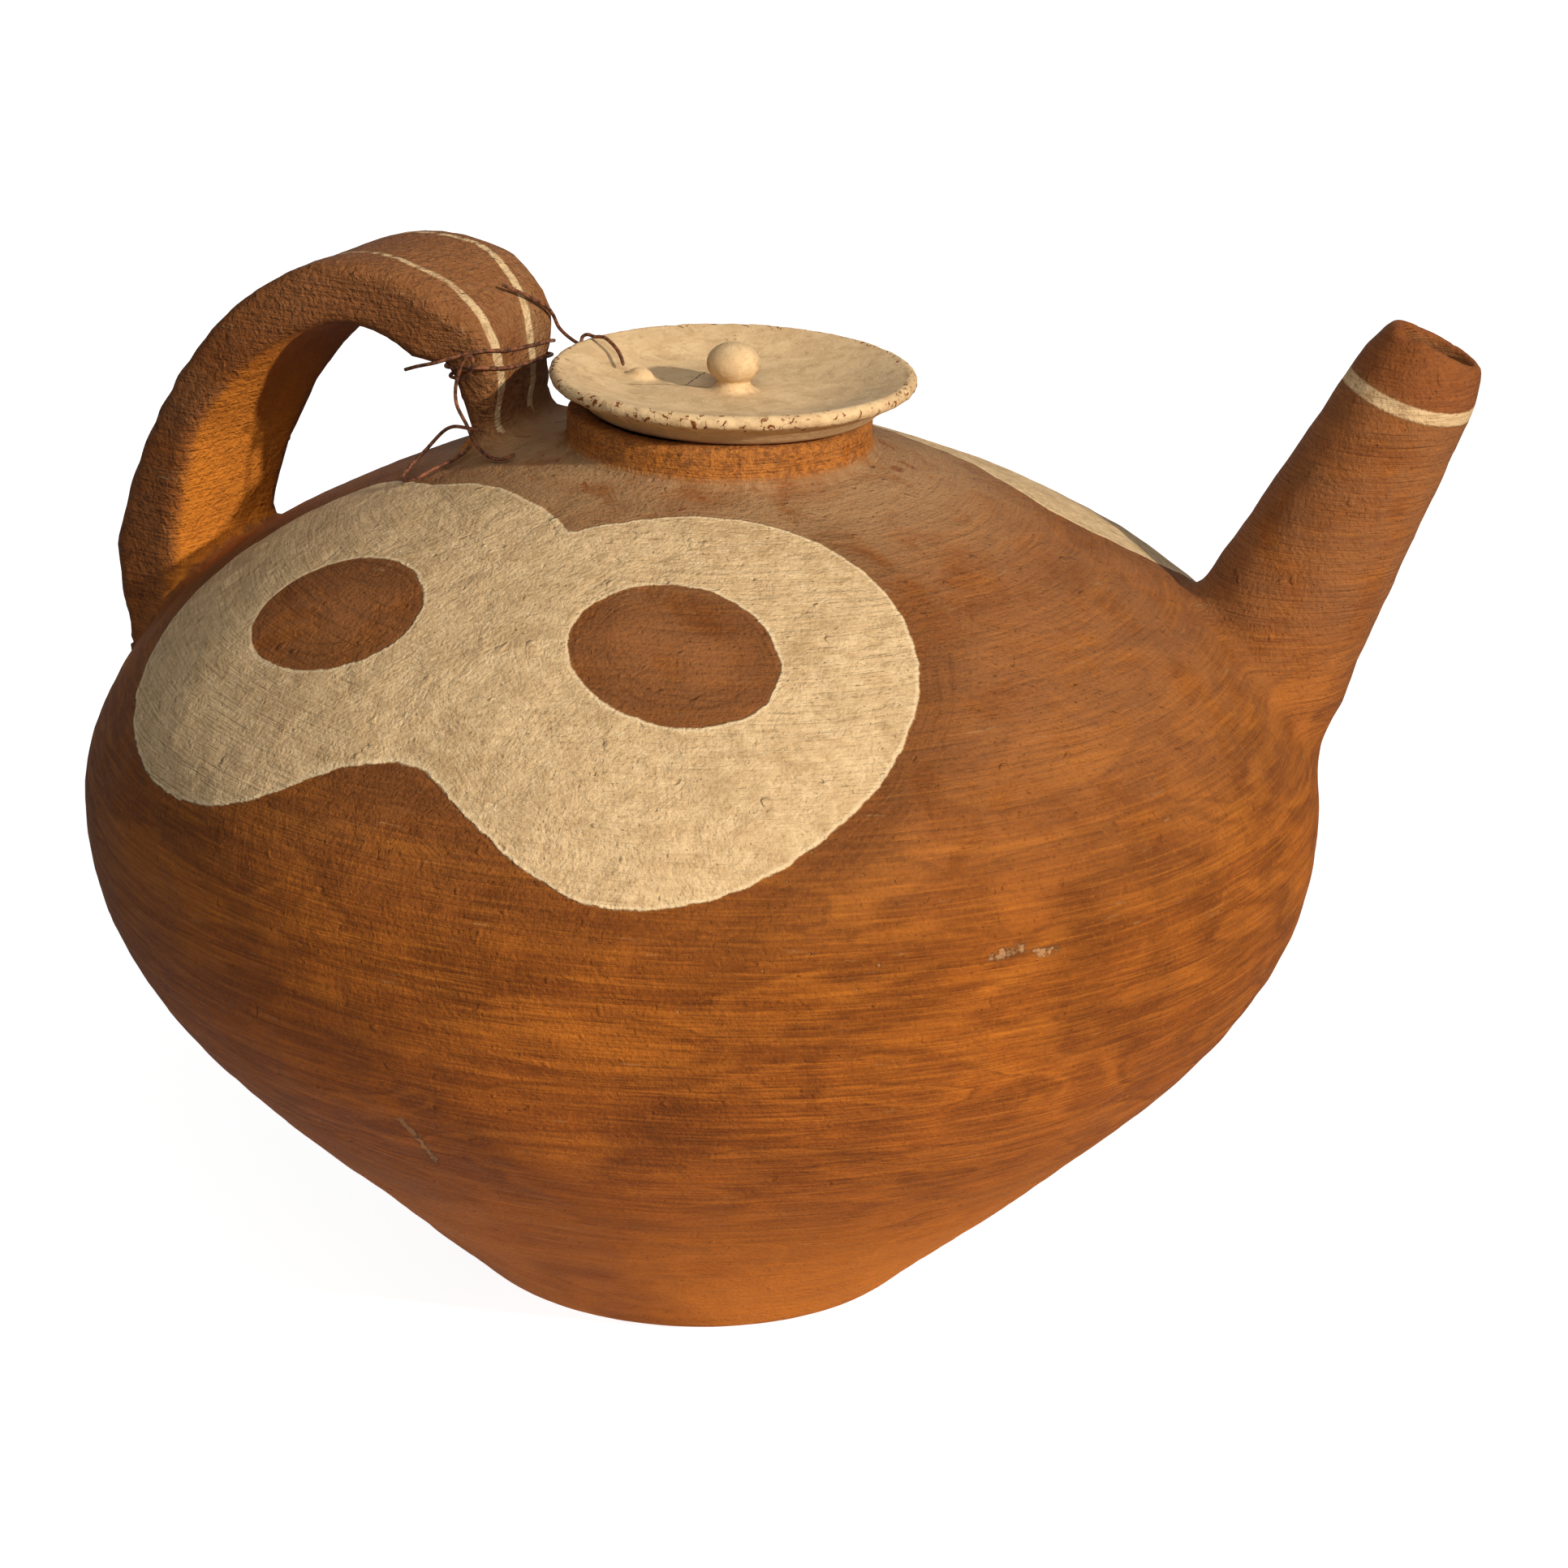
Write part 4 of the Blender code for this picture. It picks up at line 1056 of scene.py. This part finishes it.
class Painter:
    """Writes one material's nodes from its grains, coats and ridges."""

    def __init__(self, name: str, *finishes: object) -> None:
        """Starts a material with its shader.

        Args:
            name: Name of the material.
            *finishes: Finishes whose colours the coats name.
        """
        self.material = bpy.data.materials.new(name)
        self.material.use_nodes = True
        self.tree = self.material.node_tree
        self.shader = self.tree.nodes["Principled BSDF"]
        self.tints = {key: colour(value) for finish in finishes
                      for key, value in vars(finish).items() if isinstance(value, str)}
        self.sources: dict[str, bpy.types.NodeSocket] = {}

    def connect(self, node: bpy.types.Node, inputs: dict) -> None:
        """Links sockets to a node's inputs and sets the plain values."""
        for key, value in inputs.items():
            if isinstance(value, bpy.types.NodeSocket):
                self.tree.links.new(value, node.inputs[key])
            else:
                node.inputs[key].default_value = value

    def add(self, kind: str, inputs: dict, output: str | int = 0, **settings):
        """Adds a node; an input is a socket to link or a value to set.

        Args:
            kind: Node type.
            inputs: Sockets or values by input name or number.
            output: Name or number of the output to hand back.
            **settings: Properties of the node.

        Returns:
            The output socket.
        """
        node = self.tree.nodes.new(kind)
        for key, value in settings.items():
            setattr(node, key, value)
        self.connect(node, inputs)
        return node.outputs[output]

    def read(self, grains: dict[str, Grain], measures: Sequence[str] = ()) -> None:
        """Lays the grains over object coordinates and reads what the mesh stores.

        Args:
            grains: Patterns by the names that the zones use.
            measures: Names of the stored numbers.
        """
        place = self.add("ShaderNodeTexCoord", {}, "Object")
        for name, grain in grains.items():
            space = self.add("ShaderNodeMapping", {
                "Vector": place, "Rotation": grain.turn,
                "Scale": tuple(stretch / MM for stretch in grain.stretch)})
            self.sources[name] = self.add("ShaderNodeTexNoise", {
                "Vector": space, "Scale": 1.0 / grain.size, "Detail": grain.detail,
                "Roughness": grain.rough, "Distortion": grain.warp}, "Fac")
        for name in measures:
            self.sources[name] = self.add("ShaderNodeAttribute", {}, "Fac", attribute_name=name)
        self.sources["upward"] = self.add("ShaderNodeSeparateXYZ", {0: place}, "Z")
        self.sources["height"] = self.total({"upward": 1.0 / MM})

    def total(self, weights: dict[str, float], start: float = 0.0):
        """Weighted sum of sources on top of a start value."""
        result = start
        for name, weight in weights.items():
            result = self.add("ShaderNodeMath", {0: self.sources[name], 1: weight, 2: result},
                              operation="MULTIPLY_ADD")
        return result

    def share(self, zones: Sequence[Zone | str], most: float = 1.0):
        """How far a point lies in all the zones, up to the most."""
        parts = []
        for zone in zones:
            if isinstance(zone, str):
                parts.append(self.sources[zone])
                continue
            parts.append(self.add("ShaderNodeMapRange", {
                "Value": self.sources[zone.source], "From Min": zone.start,
                "From Max": zone.full, "To Min": zone.least * most,
                "To Max": zone.most * most}, "Result", interpolation_type="SMOOTHSTEP"))
            most = 1.0
        if most != 1.0:
            parts.append(most)
        result = parts[0]
        for part in parts[1:]:
            result = self.add("ShaderNodeMath", {0: result, 1: part}, operation="MULTIPLY")
        return result

    def cover(self, below: str, coats: Sequence[Coat]):
        """Colour of the coats over a named colour, the last on top."""
        result = self.tints[below]
        for coat in coats:
            result = self.add("ShaderNodeMix", {
                0: self.share(coat.zones, coat.share), 6: result, 7: self.tints[coat.tint]},
                2, data_type="RGBA")
        return result

    def relief(self, ridges: Sequence[Ridge]):
        """Height of the surface, as the sum of its ridges and cuts."""
        result = 0.0
        for ridge in ridges:
            result = self.add("ShaderNodeMath", {
                0: self.share(ridge.zones), 1: ridge.height, 2: result},
                operation="MULTIPLY_ADD")
        return result

    def finish(self, base, roughness, height, depth: float) -> bpy.types.Material:
        """Links the results to the shader.

        Args:
            base: Colour of the surface.
            roughness: Number or socket.
            height: Relief, about 0 to 1.
            depth: Its full height in millimetres.

        Returns:
            The material.
        """
        bump = self.add("ShaderNodeBump", {"Height": height, "Distance": depth * MM})
        self.connect(self.shader, {"Base Color": base, "Roughness": roughness,
                                   "Specular IOR Level": DULL_SPECULAR, "Normal": bump})
        return self.material


def clay_material(clay: ClayFinish, slip: SlipFinish) -> bpy.types.Material:
    """Brown earthenware with the cream slip ornament painted over it.

    Args:
        clay: Finish of the fired clay.
        slip: Finish of the slip.

    Returns:
        The material.
    """
    p = Painter("brown_earthenware", clay, slip)
    p.read(CLAY_GRAINS, CLAY_MEASURES)
    found = p.sources
    found["contour"] = p.add("ShaderNodeMath", {0: p.total({"arcs": 1.0}, -0.5)},
                             operation="ABSOLUTE")
    path = p.add("ShaderNodeCombineXYZ", {"X": p.total({"slip": 1.0, "drift": 5.0}),
                                          "Y": p.total({"height": 0.04})})
    found["strokes"] = p.add("ShaderNodeTexNoise", {
        "Vector": path, "Scale": 1.0 / clay.stroke_gap, "Detail": 3.0, "Roughness": 0.65}, "Fac")
    found["rings"] = p.share(("strokes", Zone("slip", -30.0, -8.0), Zone("cloud", 0.36, 0.56)))
    found["frayed"] = p.total({"scar": 1.0, "fine": 4.0}, -2.0)
    found["scraped"] = p.share((Zone("frayed", 1.9, 0.9),))
    found["border"] = p.total({"slip": 1.0, "wander": 2.6, "fine": 0.9}, -1.75)
    found["line"] = p.total({"stripe": 1.0, "fine": 0.9}, -0.45)
    found["cover"] = p.share((Zone("border", -0.35, 0.35),))
    found["striped"] = p.share((Zone("line", -0.4, 0.5), Zone("brush", 0.28, 0.46, 0.45)))
    p.tints["swirled"] = p.cover("brown", (Coat("orange", 1.0, (Zone("swirl", 0.30, 0.68),)),))
    p.tints["brushed"] = p.cover("mid", (Coat("light", 1.0, (Zone("brush", 0.4, 0.6),)),))
    p.tints["cream"] = p.cover("mid", CREAM_COATS)
    low, high = clay.roughness - clay.patchiness, clay.roughness + clay.patchiness
    return p.finish(p.cover("brown", CLAY_COATS), p.share((Zone("cloud", 0.3, 0.7, low, high),)),
                    p.relief(CLAY_RIDGES), clay.relief)


def lid_material(clay: ClayFinish, slip: SlipFinish) -> bpy.types.Material:
    """Cream slip over brown clay on the lid, flaked at the rim and finely cracked.

    Args:
        clay: Finish of the clay under the slip.
        slip: Finish of the slip.

    Returns:
        The material.
    """
    p = Painter("cream_slip", clay, slip)
    p.read(LID_GRAINS, LID_MEASURES)
    p.sources["flaking"] = p.total({"flakes": 1.0, "rim": 0.10})
    p.sources["hair"] = p.add("ShaderNodeMath", {0: p.total({"crack": 1.0, "craze": 1.8}, -0.9)},
                              operation="ABSOLUTE")
    p.tints["bare"] = p.cover("red", (Coat("brown", 1.0, (Zone("fine", 0.4, 0.6),)),))
    return p.finish(p.cover("mid", LID_COATS), slip.roughness, p.relief(LID_RIDGES), slip.relief)


def wire_material(wire: WireFinish) -> bpy.types.Material:
    """Rusted annealed iron wire, dark with brown bloom.

    Args:
        wire: Its finish.

    Returns:
        The material.
    """
    p = Painter("rusty_wire", wire)
    p.read(WIRE_GRAINS)
    p.connect(p.shader, {"Metallic": wire.metallic})
    rusted = p.cover("dark", (Coat("rust", 1.0, (Zone("bloom", 0.40, 0.62),)),))
    return p.finish(rusted, wire.roughness, p.sources["bloom"], wire.relief)


@dataclass
class Pot:
    """The pot's fine piece: shape, hand marks and painted zones.

    Attributes:
        scars: Scrapes in the belly, each as points in millimetres.
        form: Surface that the piece is drawn onto.
        ornament: What is painted on it.
        voxel: Size of its faces.
        tip: Length along the spout and distance from its axis that bound its finer faces.
        lip: Distance from the collar's axis and height that bound the collar's finer faces.
        shell: Distance within which a point counts as the outer surface.
        touch: Distance within which it counts as the spout's or the strap's.
        spout_from: Place along +X past which the spout's band may lie.
        foot_calm: Height over which the unevenness sets in above the foot.
        hidden_depth: Depth under the outer surface past which faces are thinned.
        thinning: Share of the hidden faces that goes.
        sunk: How far the surface is worked in on average, in millimetres.
        marks: Unevenness as amount in millimetres, size, seed and squash of each noise.
    """

    scars: tuple[tuple[Point3, ...], ...] = (
        ((-88.5, -164.2, 113.9), (-83.4, -161.7, 107.1), (-78.3, -152.9, 94.4)),
        ((85.4, -179.5, 176.0), (94.4, -174.5, 177.2)),
        ((98.0, -172.6, 175.0), (105.0, -169.0, 174.3)),
    )
    form: PotForm = field(default_factory=PotForm)
    ornament: Ornament = field(default_factory=Ornament)
    voxel: float = 2.85 * MM
    tip: Point2 = (0.088, 0.030)
    lip: Point2 = (0.058, 0.270)
    shell: float = 3.0 * MM
    touch: float = 2.0 * MM
    spout_from: float = 0.15
    foot_calm: float = 12.0 * MM
    hidden_depth: float = 5.5 * MM
    thinning: float = 0.90
    sunk: float = -0.45
    marks: tuple[tuple[float, float, float, Point3], ...] = (
        (0.80, 0.060, 3.1, (1.0, 1.0, 1.0)), (0.22, 0.011, 8.4, (0.35, 0.35, 1.0)),
        (0.24, 0.008, 5.7, (1.0, 1.0, 1.0)))

    def build(self, material: bpy.types.Material) -> bpy.types.Object:
        """Makes the piece from the CAD node.

        Args:
            material: Its finish.

        Returns:
            The piece.
        """
        piece = fine_mesh("pot_fine", node_copy("pot"), self.voxel)
        mesh = piece.data
        points = places(mesh)
        along, radius, _ = self.form.spout.own(points)
        tip = (along > self.tip[0]) & (radius < self.tip[1])
        gap = np.hypot(points[:, 0] - self.form.collar_centre[0], points[:, 1])
        lip = (gap < self.lip[0]) & (points[:, 2] > self.lip[1])
        refine(mesh, tip | lip)
        draw_onto(mesh, self.form, 3)
        mesh = self.thin_inside(piece)
        self.paint(mesh)
        self.work_by_hand(mesh)
        dress(mesh, material)
        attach(piece, "root")
        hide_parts("pot")
        LOG.info("pot: %d vertices", len(mesh.vertices))
        return piece

    def thin_inside(self, piece: bpy.types.Object) -> bpy.types.Mesh:
        """Uses fewer faces on the hidden surface of the hollow."""
        points = places(piece.data)
        hidden = self.form.outside(points) < -self.hidden_depth
        group = piece.vertex_groups.new(name="hidden")
        group.add([int(i) for i in np.nonzero(hidden)[0]], 1.0, "REPLACE")
        share = float(hidden.mean())
        thin = piece.modifiers.new("thin", "DECIMATE")
        thin.ratio = 1.0 - self.thinning * share
        thin.vertex_group = "hidden"
        thin.vertex_group_factor = 1000.0  # The most, so that the shown faces stay whole
        return applied(piece)

    def paint(self, mesh: bpy.types.Mesh) -> None:
        """Stores the distances that the shader turns into slip, stripes and tints."""
        points = places(mesh)
        outer = np.abs(self.form.outside(points)) < self.shell
        azimuth = np.arctan2(points[:, 1], points[:, 0])
        run = self.form.body.run_at(points[:, 2]) / MM
        flat = run[:, None] * np.stack([np.cos(azimuth), np.sin(azimuth)], 1)
        strap = self.form.strap.own(points)
        along, _, right = self.form.spout.own(points)
        on_strap = outer & (strap["far"] < self.touch) & self.form.strap.reaches(points)
        on_spout = (outer & (points[:, 0] > self.spout_from)
                    & (self.form.spout.outer(points) < self.touch))
        shoulder = self.form.body.outer.at(points)
        body = outer & (shoulder < self.shell)
        slip = np.where(body & ~on_strap, self.ornament.slip(flat), -FAR_OFF)
        lift = np.maximum(shoulder / MM - 2.0, 0.0)
        store(mesh, "slip", np.maximum(slip - 6.0 * lift, -FAR_OFF))
        store(mesh, "stripe", self.stripes(points, strap, along / MM, right / MM, on_strap,
                                           on_spout))
        centre = np.array(self.form.collar_centre)
        reach = np.hypot(points[:, 0] - centre[0], points[:, 1] - centre[1])
        neck = (reach - self.form.collar_radius) / MM
        store(mesh, "neck", np.where(points[:, 2] > 0.2, neck, 500.0))
        high = np.clip((points[:, 2] - self.form.body.shoulder - 1.0 * MM) / (2.0 * MM), 0, 1)
        store(mesh, "collar", high * (reach < 0.056))
        store(mesh, "nose", np.where(on_spout, along / MM, 0.0))
        scar = np.full(len(points), FAR_OFF)
        for line in self.scars:
            for a, b in zip(line, line[1:]):
                gap = nearest(points / MM, np.array(a), np.array(b))[1]
                scar = np.minimum(scar, np.linalg.norm(gap, axis=1))
        store(mesh, "scar", scar)
        blend = np.clip(1.0 - strap["far"] / (5.0 * MM), 0.0, 1.0)
        store(mesh, "handle", blend * np.clip(shoulder / (6.0 * MM), 0.0, 1.0))
        # Mask of the strap's inner faces, which the shader paints in a sunlit orange (painted
        # light)
        store(mesh, "painted_lit_inside", on_strap * np.clip((-strap["level"] - 0.90) / 0.07, 0.0, 1.0))

    def stripes(self, points: np.ndarray, strap: dict[str, np.ndarray], along: np.ndarray,
                right: np.ndarray, on_strap: np.ndarray, on_spout: np.ndarray) -> np.ndarray:
        """Distance into the handle's stripes or the spout's band, in millimetres."""
        marks = self.ornament
        out = points @ self.form.strap.out
        near = points @ self.form.strap.near / MM
        angle = np.degrees(np.arctan2(points[:, 2] - 0.235, out - 0.135))
        angle = np.where(angle < -90.0, angle + 360.0, angle)
        result = np.full(len(points), -FAR_OFF)
        face = on_strap & (strap["v"] > 0)
        for keys in (marks.near_stripe, marks.far_stripe):
            table = np.array(keys)
            middle = np.interp(angle, table[:, 0], table[:, 1])
            widths = np.array(marks.stripe_widths)
            width = np.interp(angle, widths[:, 0], widths[:, 1]) / 2
            result = np.where(face, np.maximum(result, width - np.abs(near - middle)), result)
        middle, half, rise, bow = marks.band
        turn = right / (self.form.spout.stations[5][1] / MM)
        centre = middle + rise * turn + bow * turn * turn
        band = half - np.abs(along - centre)
        return np.where(on_spout, np.maximum(result, band), result)

    def work_by_hand(self, mesh: bpy.types.Mesh) -> None:
        """Adds the slow unevenness of a hand-built wall and finger-wide ridges."""
        points = places(mesh)
        outward = normals(mesh)
        outer = np.clip(1.0 + self.form.outside(points) / self.shell, 0.0, 1.0)
        foot = np.clip(points[:, 2] / self.foot_calm, 0.0, 1.0)
        height = np.full(len(points), self.sunk)
        for amount, size, seed, squash in self.marks:
            height += amount * hand_noise(points * np.array(squash), size, seed, 2)
        height = np.minimum(height, 0.0) * MM
        worked = points + outward * (height * outer * foot)[:, None]
        put_places(mesh, np.clip(worked, BOUNDS_AT_LOAD[0], BOUNDS_AT_LOAD[1]))


@dataclass
class Lid:
    """The lid's fine piece."""

    form: LidForm = field(default_factory=LidForm)
    voxel: float = 0.8 * MM
    crack_rise: float = 4.0 * MM
    cracks: tuple[tuple[Point2, ...], ...] = (
        ((-0.0330, 0.0010), (-0.0230, 0.0035), (-0.0120, 0.0020), (-0.0060, 0.0005)),
        ((-0.0150, 0.0030), (-0.0120, 0.0110), (-0.0090, 0.0190)),
    )

    def build(self, material: bpy.types.Material) -> bpy.types.Object:
        """Makes the piece from the CAD node.

        Args:
            material: Its finish.

        Returns:
            The piece.
        """
        piece = fine_mesh("lid_fine", node_copy("lid"), self.voxel)
        mesh = piece.data
        draw_onto(mesh, self.form, 3)
        self.paint(mesh)
        self.work_by_hand(mesh)
        dress(mesh, material)
        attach(piece, "root")
        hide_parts("lid")
        LOG.info("lid: %d vertices", len(mesh.vertices))
        return piece

    def paint(self, mesh: bpy.types.Mesh) -> None:
        """Stores the rim zone, the underside and the distance to the hairline cracks."""
        points = places(mesh)
        flat = points[:, :2] - np.array(self.form.centre)
        reach = np.hypot(flat[:, 0], flat[:, 1])
        rim = np.clip((reach - self.form.radius + 7.0 * MM) / (6.0 * MM), 0.0, 1.0)
        store(mesh, "rim", rim)
        low = self.form.bottom + 1.4 * MM
        store(mesh, "under", np.clip((low - points[:, 2]) / (1.5 * MM), 0, 1) * (reach > 0.040))
        best = np.full(len(points), FAR_OFF)
        for line in self.cracks:
            for a, b in zip(line, line[1:]):
                way = np.array(b) - np.array(a)
                gap = nearest(flat, np.array(a), np.array(b))[1]
                side = way[0] * gap[:, 1] - way[1] * gap[:, 0]
                far = np.hypot(gap[:, 0], gap[:, 1]) / MM * np.where(side < 0, -1.0, 1.0)
                best = np.where(np.abs(far) < np.abs(best), far, best)
        store(mesh, "crack", np.where(points[:, 2] > self.form.bottom + self.crack_rise, best,
                                       FAR_OFF))

    def work_by_hand(self, mesh: bpy.types.Mesh) -> None:
        """Adds brush ripples and a nibbled rim."""
        points = places(mesh)
        outward = normals(mesh)
        flat = points[:, :2] - np.array(self.form.centre)
        reach = np.hypot(flat[:, 0], flat[:, 1])
        rim = np.clip((reach - self.form.radius + 4.0 * MM) / (3.0 * MM), 0.0, 1.0)
        over = np.clip((points[:, 2] - self.form.bottom - 1.0 * MM) / (2.0 * MM), 0.0, 1.0)
        slow = hand_noise(points, 0.018, 2.3, 2)
        small = hand_noise(points, 0.0045, 6.1, 3)
        height = (-0.10 + 0.16 * slow + (0.08 + 0.22 * rim) * (small - 0.2)) * over
        put_places(mesh, points + outward * (np.minimum(height, 0.0) * MM)[:, None])


@dataclass
class Wires:
    """The three tie wires, smoothed copies of their CAD nodes."""

    names: tuple[str, ...] = ("handle_wire", "shoulder_wire", "lid_wire")

    def build(self, material: bpy.types.Material) -> list[bpy.types.Object]:
        """Makes the pieces from the CAD nodes.

        Args:
            material: Their finish.

        Returns:
            The pieces.
        """
        pieces = []
        for name in self.names:
            bm = node_copy(name)
            mesh = bpy.data.meshes.new(name + "_fine")
            bm.to_mesh(mesh)
            bm.free()
            piece = new_object(name + "_fine", mesh)
            dress(mesh, material)
            soft = piece.modifiers.new("soft", "SUBSURF")
            soft.levels = soft.render_levels = 2
            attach(piece, "root")
            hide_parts(name)
            pieces.append(piece)
        return pieces


@dataclass(frozen=True)
class Panel:
    """Soft square light that faces the pot.

    Attributes:
        name: Name of the light.
        azimuth: Its direction round the pot, in degrees.
        elevation: Its height over the ground line, in degrees.
        brightness: Light that reaches the pot, in watts a square metre.
        tint: Its colour as a hex code.
        distance: Its distance from the pot's foot.
        size: Length of its sides.
    """

    name: str
    azimuth: float
    elevation: float
    brightness: float
    tint: str
    distance: float
    size: float


@dataclass
class Studio:
    """Floor, light and camera of the photo.

    Attributes:
        distance: Distance of the camera from the foot.
        elevation: Its height over the ground line, in degrees.
        roll: Its tilt to the side, in degrees.
        target: Point that it looks at.
        focal: Focal length for a sensor 36 mm wide.
        key_azimuth: Direction of the low warm sun, in degrees.
        key_elevation: Its height, in degrees.
        key_power: Its strength.
        key_size: Angle that it fills, in radians.
        key_tint: Its colour.
        fills: Soft lights round the pot. The last one only keeps the back readable.
        sky: Strength of the light from all sides.
        sky_tint: Its colour.
        floor_reach: Half length of the floor.
        floor_tint: Its colour.
        floor_glow: Light that the floor gives off, so that it stays plain and pale.
    """

    distance: float = 1.6
    elevation: float = 25.51
    roll: float = 1.72
    target: Point3 = (0.0262, 0.0, 0.1626)
    focal: float = 108.04
    key_azimuth: float = -40.0
    key_elevation: float = 24.5
    key_power: float = 3.6
    key_size: float = 0.035
    key_tint: str = "#FFF3E2"
    fills: tuple[Panel, ...] = (
        Panel("fill_above", -88.0, 46.0, 1.85, "#FFF9F2", 2.2, 1.8),
        Panel("fill_below", -70.0, -36.0, 3.30, "#FFDDB4", 0.60, 0.8),
        Panel("fill_back", 95.0, 24.0, 0.90, "#FFFFFF", 2.2, 1.8))
    sky: float = 0.022
    sky_tint: str = "#FFFDFA"
    floor_reach: float = 6.0
    floor_tint: str = "#8A8A8A"
    floor_glow: float = 0.93

    def build(self) -> None:
        """Sets up everything round the pot."""
        self.floor()
        self.light()
        self.camera()

    def floor(self) -> None:
        """Lays a plain pale floor."""
        bm = bmesh.new()
        bmesh.ops.create_grid(bm, x_segments=1, y_segments=1, size=self.floor_reach)
        mesh = bpy.data.meshes.new("floor")
        bm.to_mesh(mesh)
        bm.free()
        floor = new_object("floor", mesh)
        p = Painter("floor")
        p.connect(p.shader, {
            "Base Color": colour(self.floor_tint), "Roughness": 0.9,
            "Specular IOR Level": DULL_SPECULAR, "Emission Color": colour("#FFFFFF"),
            "Emission Strength": self.floor_glow})
        mesh.materials.append(p.material)
        floor.visible_diffuse = False
        floor.visible_shadow = False

    def light(self) -> None:
        """Sets the low warm key from the right, the soft fills and a faint sky."""
        sun = bpy.data.lights.new("key", "SUN")
        sun.energy = self.key_power
        sun.angle = self.key_size
        sun.color = colour(self.key_tint)[:3]
        self.hang(sun, self.key_azimuth, self.key_elevation, 0.0)
        for panel in self.fills:
            lamp = bpy.data.lights.new(panel.name, "AREA")
            lamp.size = panel.size
            lamp.energy = panel.brightness * math.pi * panel.distance ** 2
            lamp.color = colour(panel.tint)[:3]
            self.hang(lamp, panel.azimuth, panel.elevation, panel.distance)
        world = bpy.data.worlds.new("studio")
        world.use_nodes = True
        back = world.node_tree.nodes["Background"]
        back.inputs["Color"].default_value = colour(self.sky_tint)
        back.inputs["Strength"].default_value = self.sky
        bpy.context.scene.world = world

    def hang(self, lamp: bpy.types.Light, azimuth: float, elevation: float,
             distance: float) -> None:
        """Hangs a light so that it shines on the pot.

        Args:
            lamp: The light's data.
            azimuth: Its direction round the pot, in degrees.
            elevation: Its height over the ground line, in degrees.
            distance: Its distance from the pot's foot.
        """
        turn, rise = math.radians(azimuth), math.radians(elevation)
        way = Vector((math.cos(turn) * math.cos(rise), math.sin(turn) * math.cos(rise),
                      math.sin(rise)))
        light = new_object(lamp.name, lamp)
        light.location = distance * way
        light.rotation_euler = way.to_track_quat("Z", "Y").to_euler()

    def camera(self) -> None:
        """Places the camera that was fitted to the photo's outline."""
        rise, roll = math.radians(self.elevation), math.radians(self.roll)
        place = Vector((0.0, -self.distance * math.cos(rise), self.distance * math.sin(rise)))
        back = (place - Vector(self.target)).normalized()
        level_right = Vector((0.0, 0.0, 1.0)).cross(back).normalized()
        level_up = back.cross(level_right)
        right = math.cos(roll) * level_right + math.sin(roll) * level_up
        up = math.cos(roll) * level_up - math.sin(roll) * level_right
        lens = bpy.data.cameras.new("camera")
        lens.sensor_width = 36.0
        lens.lens = self.focal
        camera = new_object("camera", lens)
        turn = Matrix((right, up, back)).transposed().to_4x4()
        camera.matrix_world = Matrix.Translation(place) @ turn
        bpy.context.scene.camera = camera


def main() -> None:
    """Builds the looks and writes the size of the result."""
    logging.basicConfig(level=logging.INFO)
    clay, slip = ClayFinish(), SlipFinish()
    Pot().build(clay_material(clay, slip))
    Lid().build(lid_material(clay, slip))
    Wires().build(wire_material(WireFinish()))
    Studio().build()
    bpy.context.scene.view_settings.view_transform = "Standard"


if __name__ == "__main__":
    main()
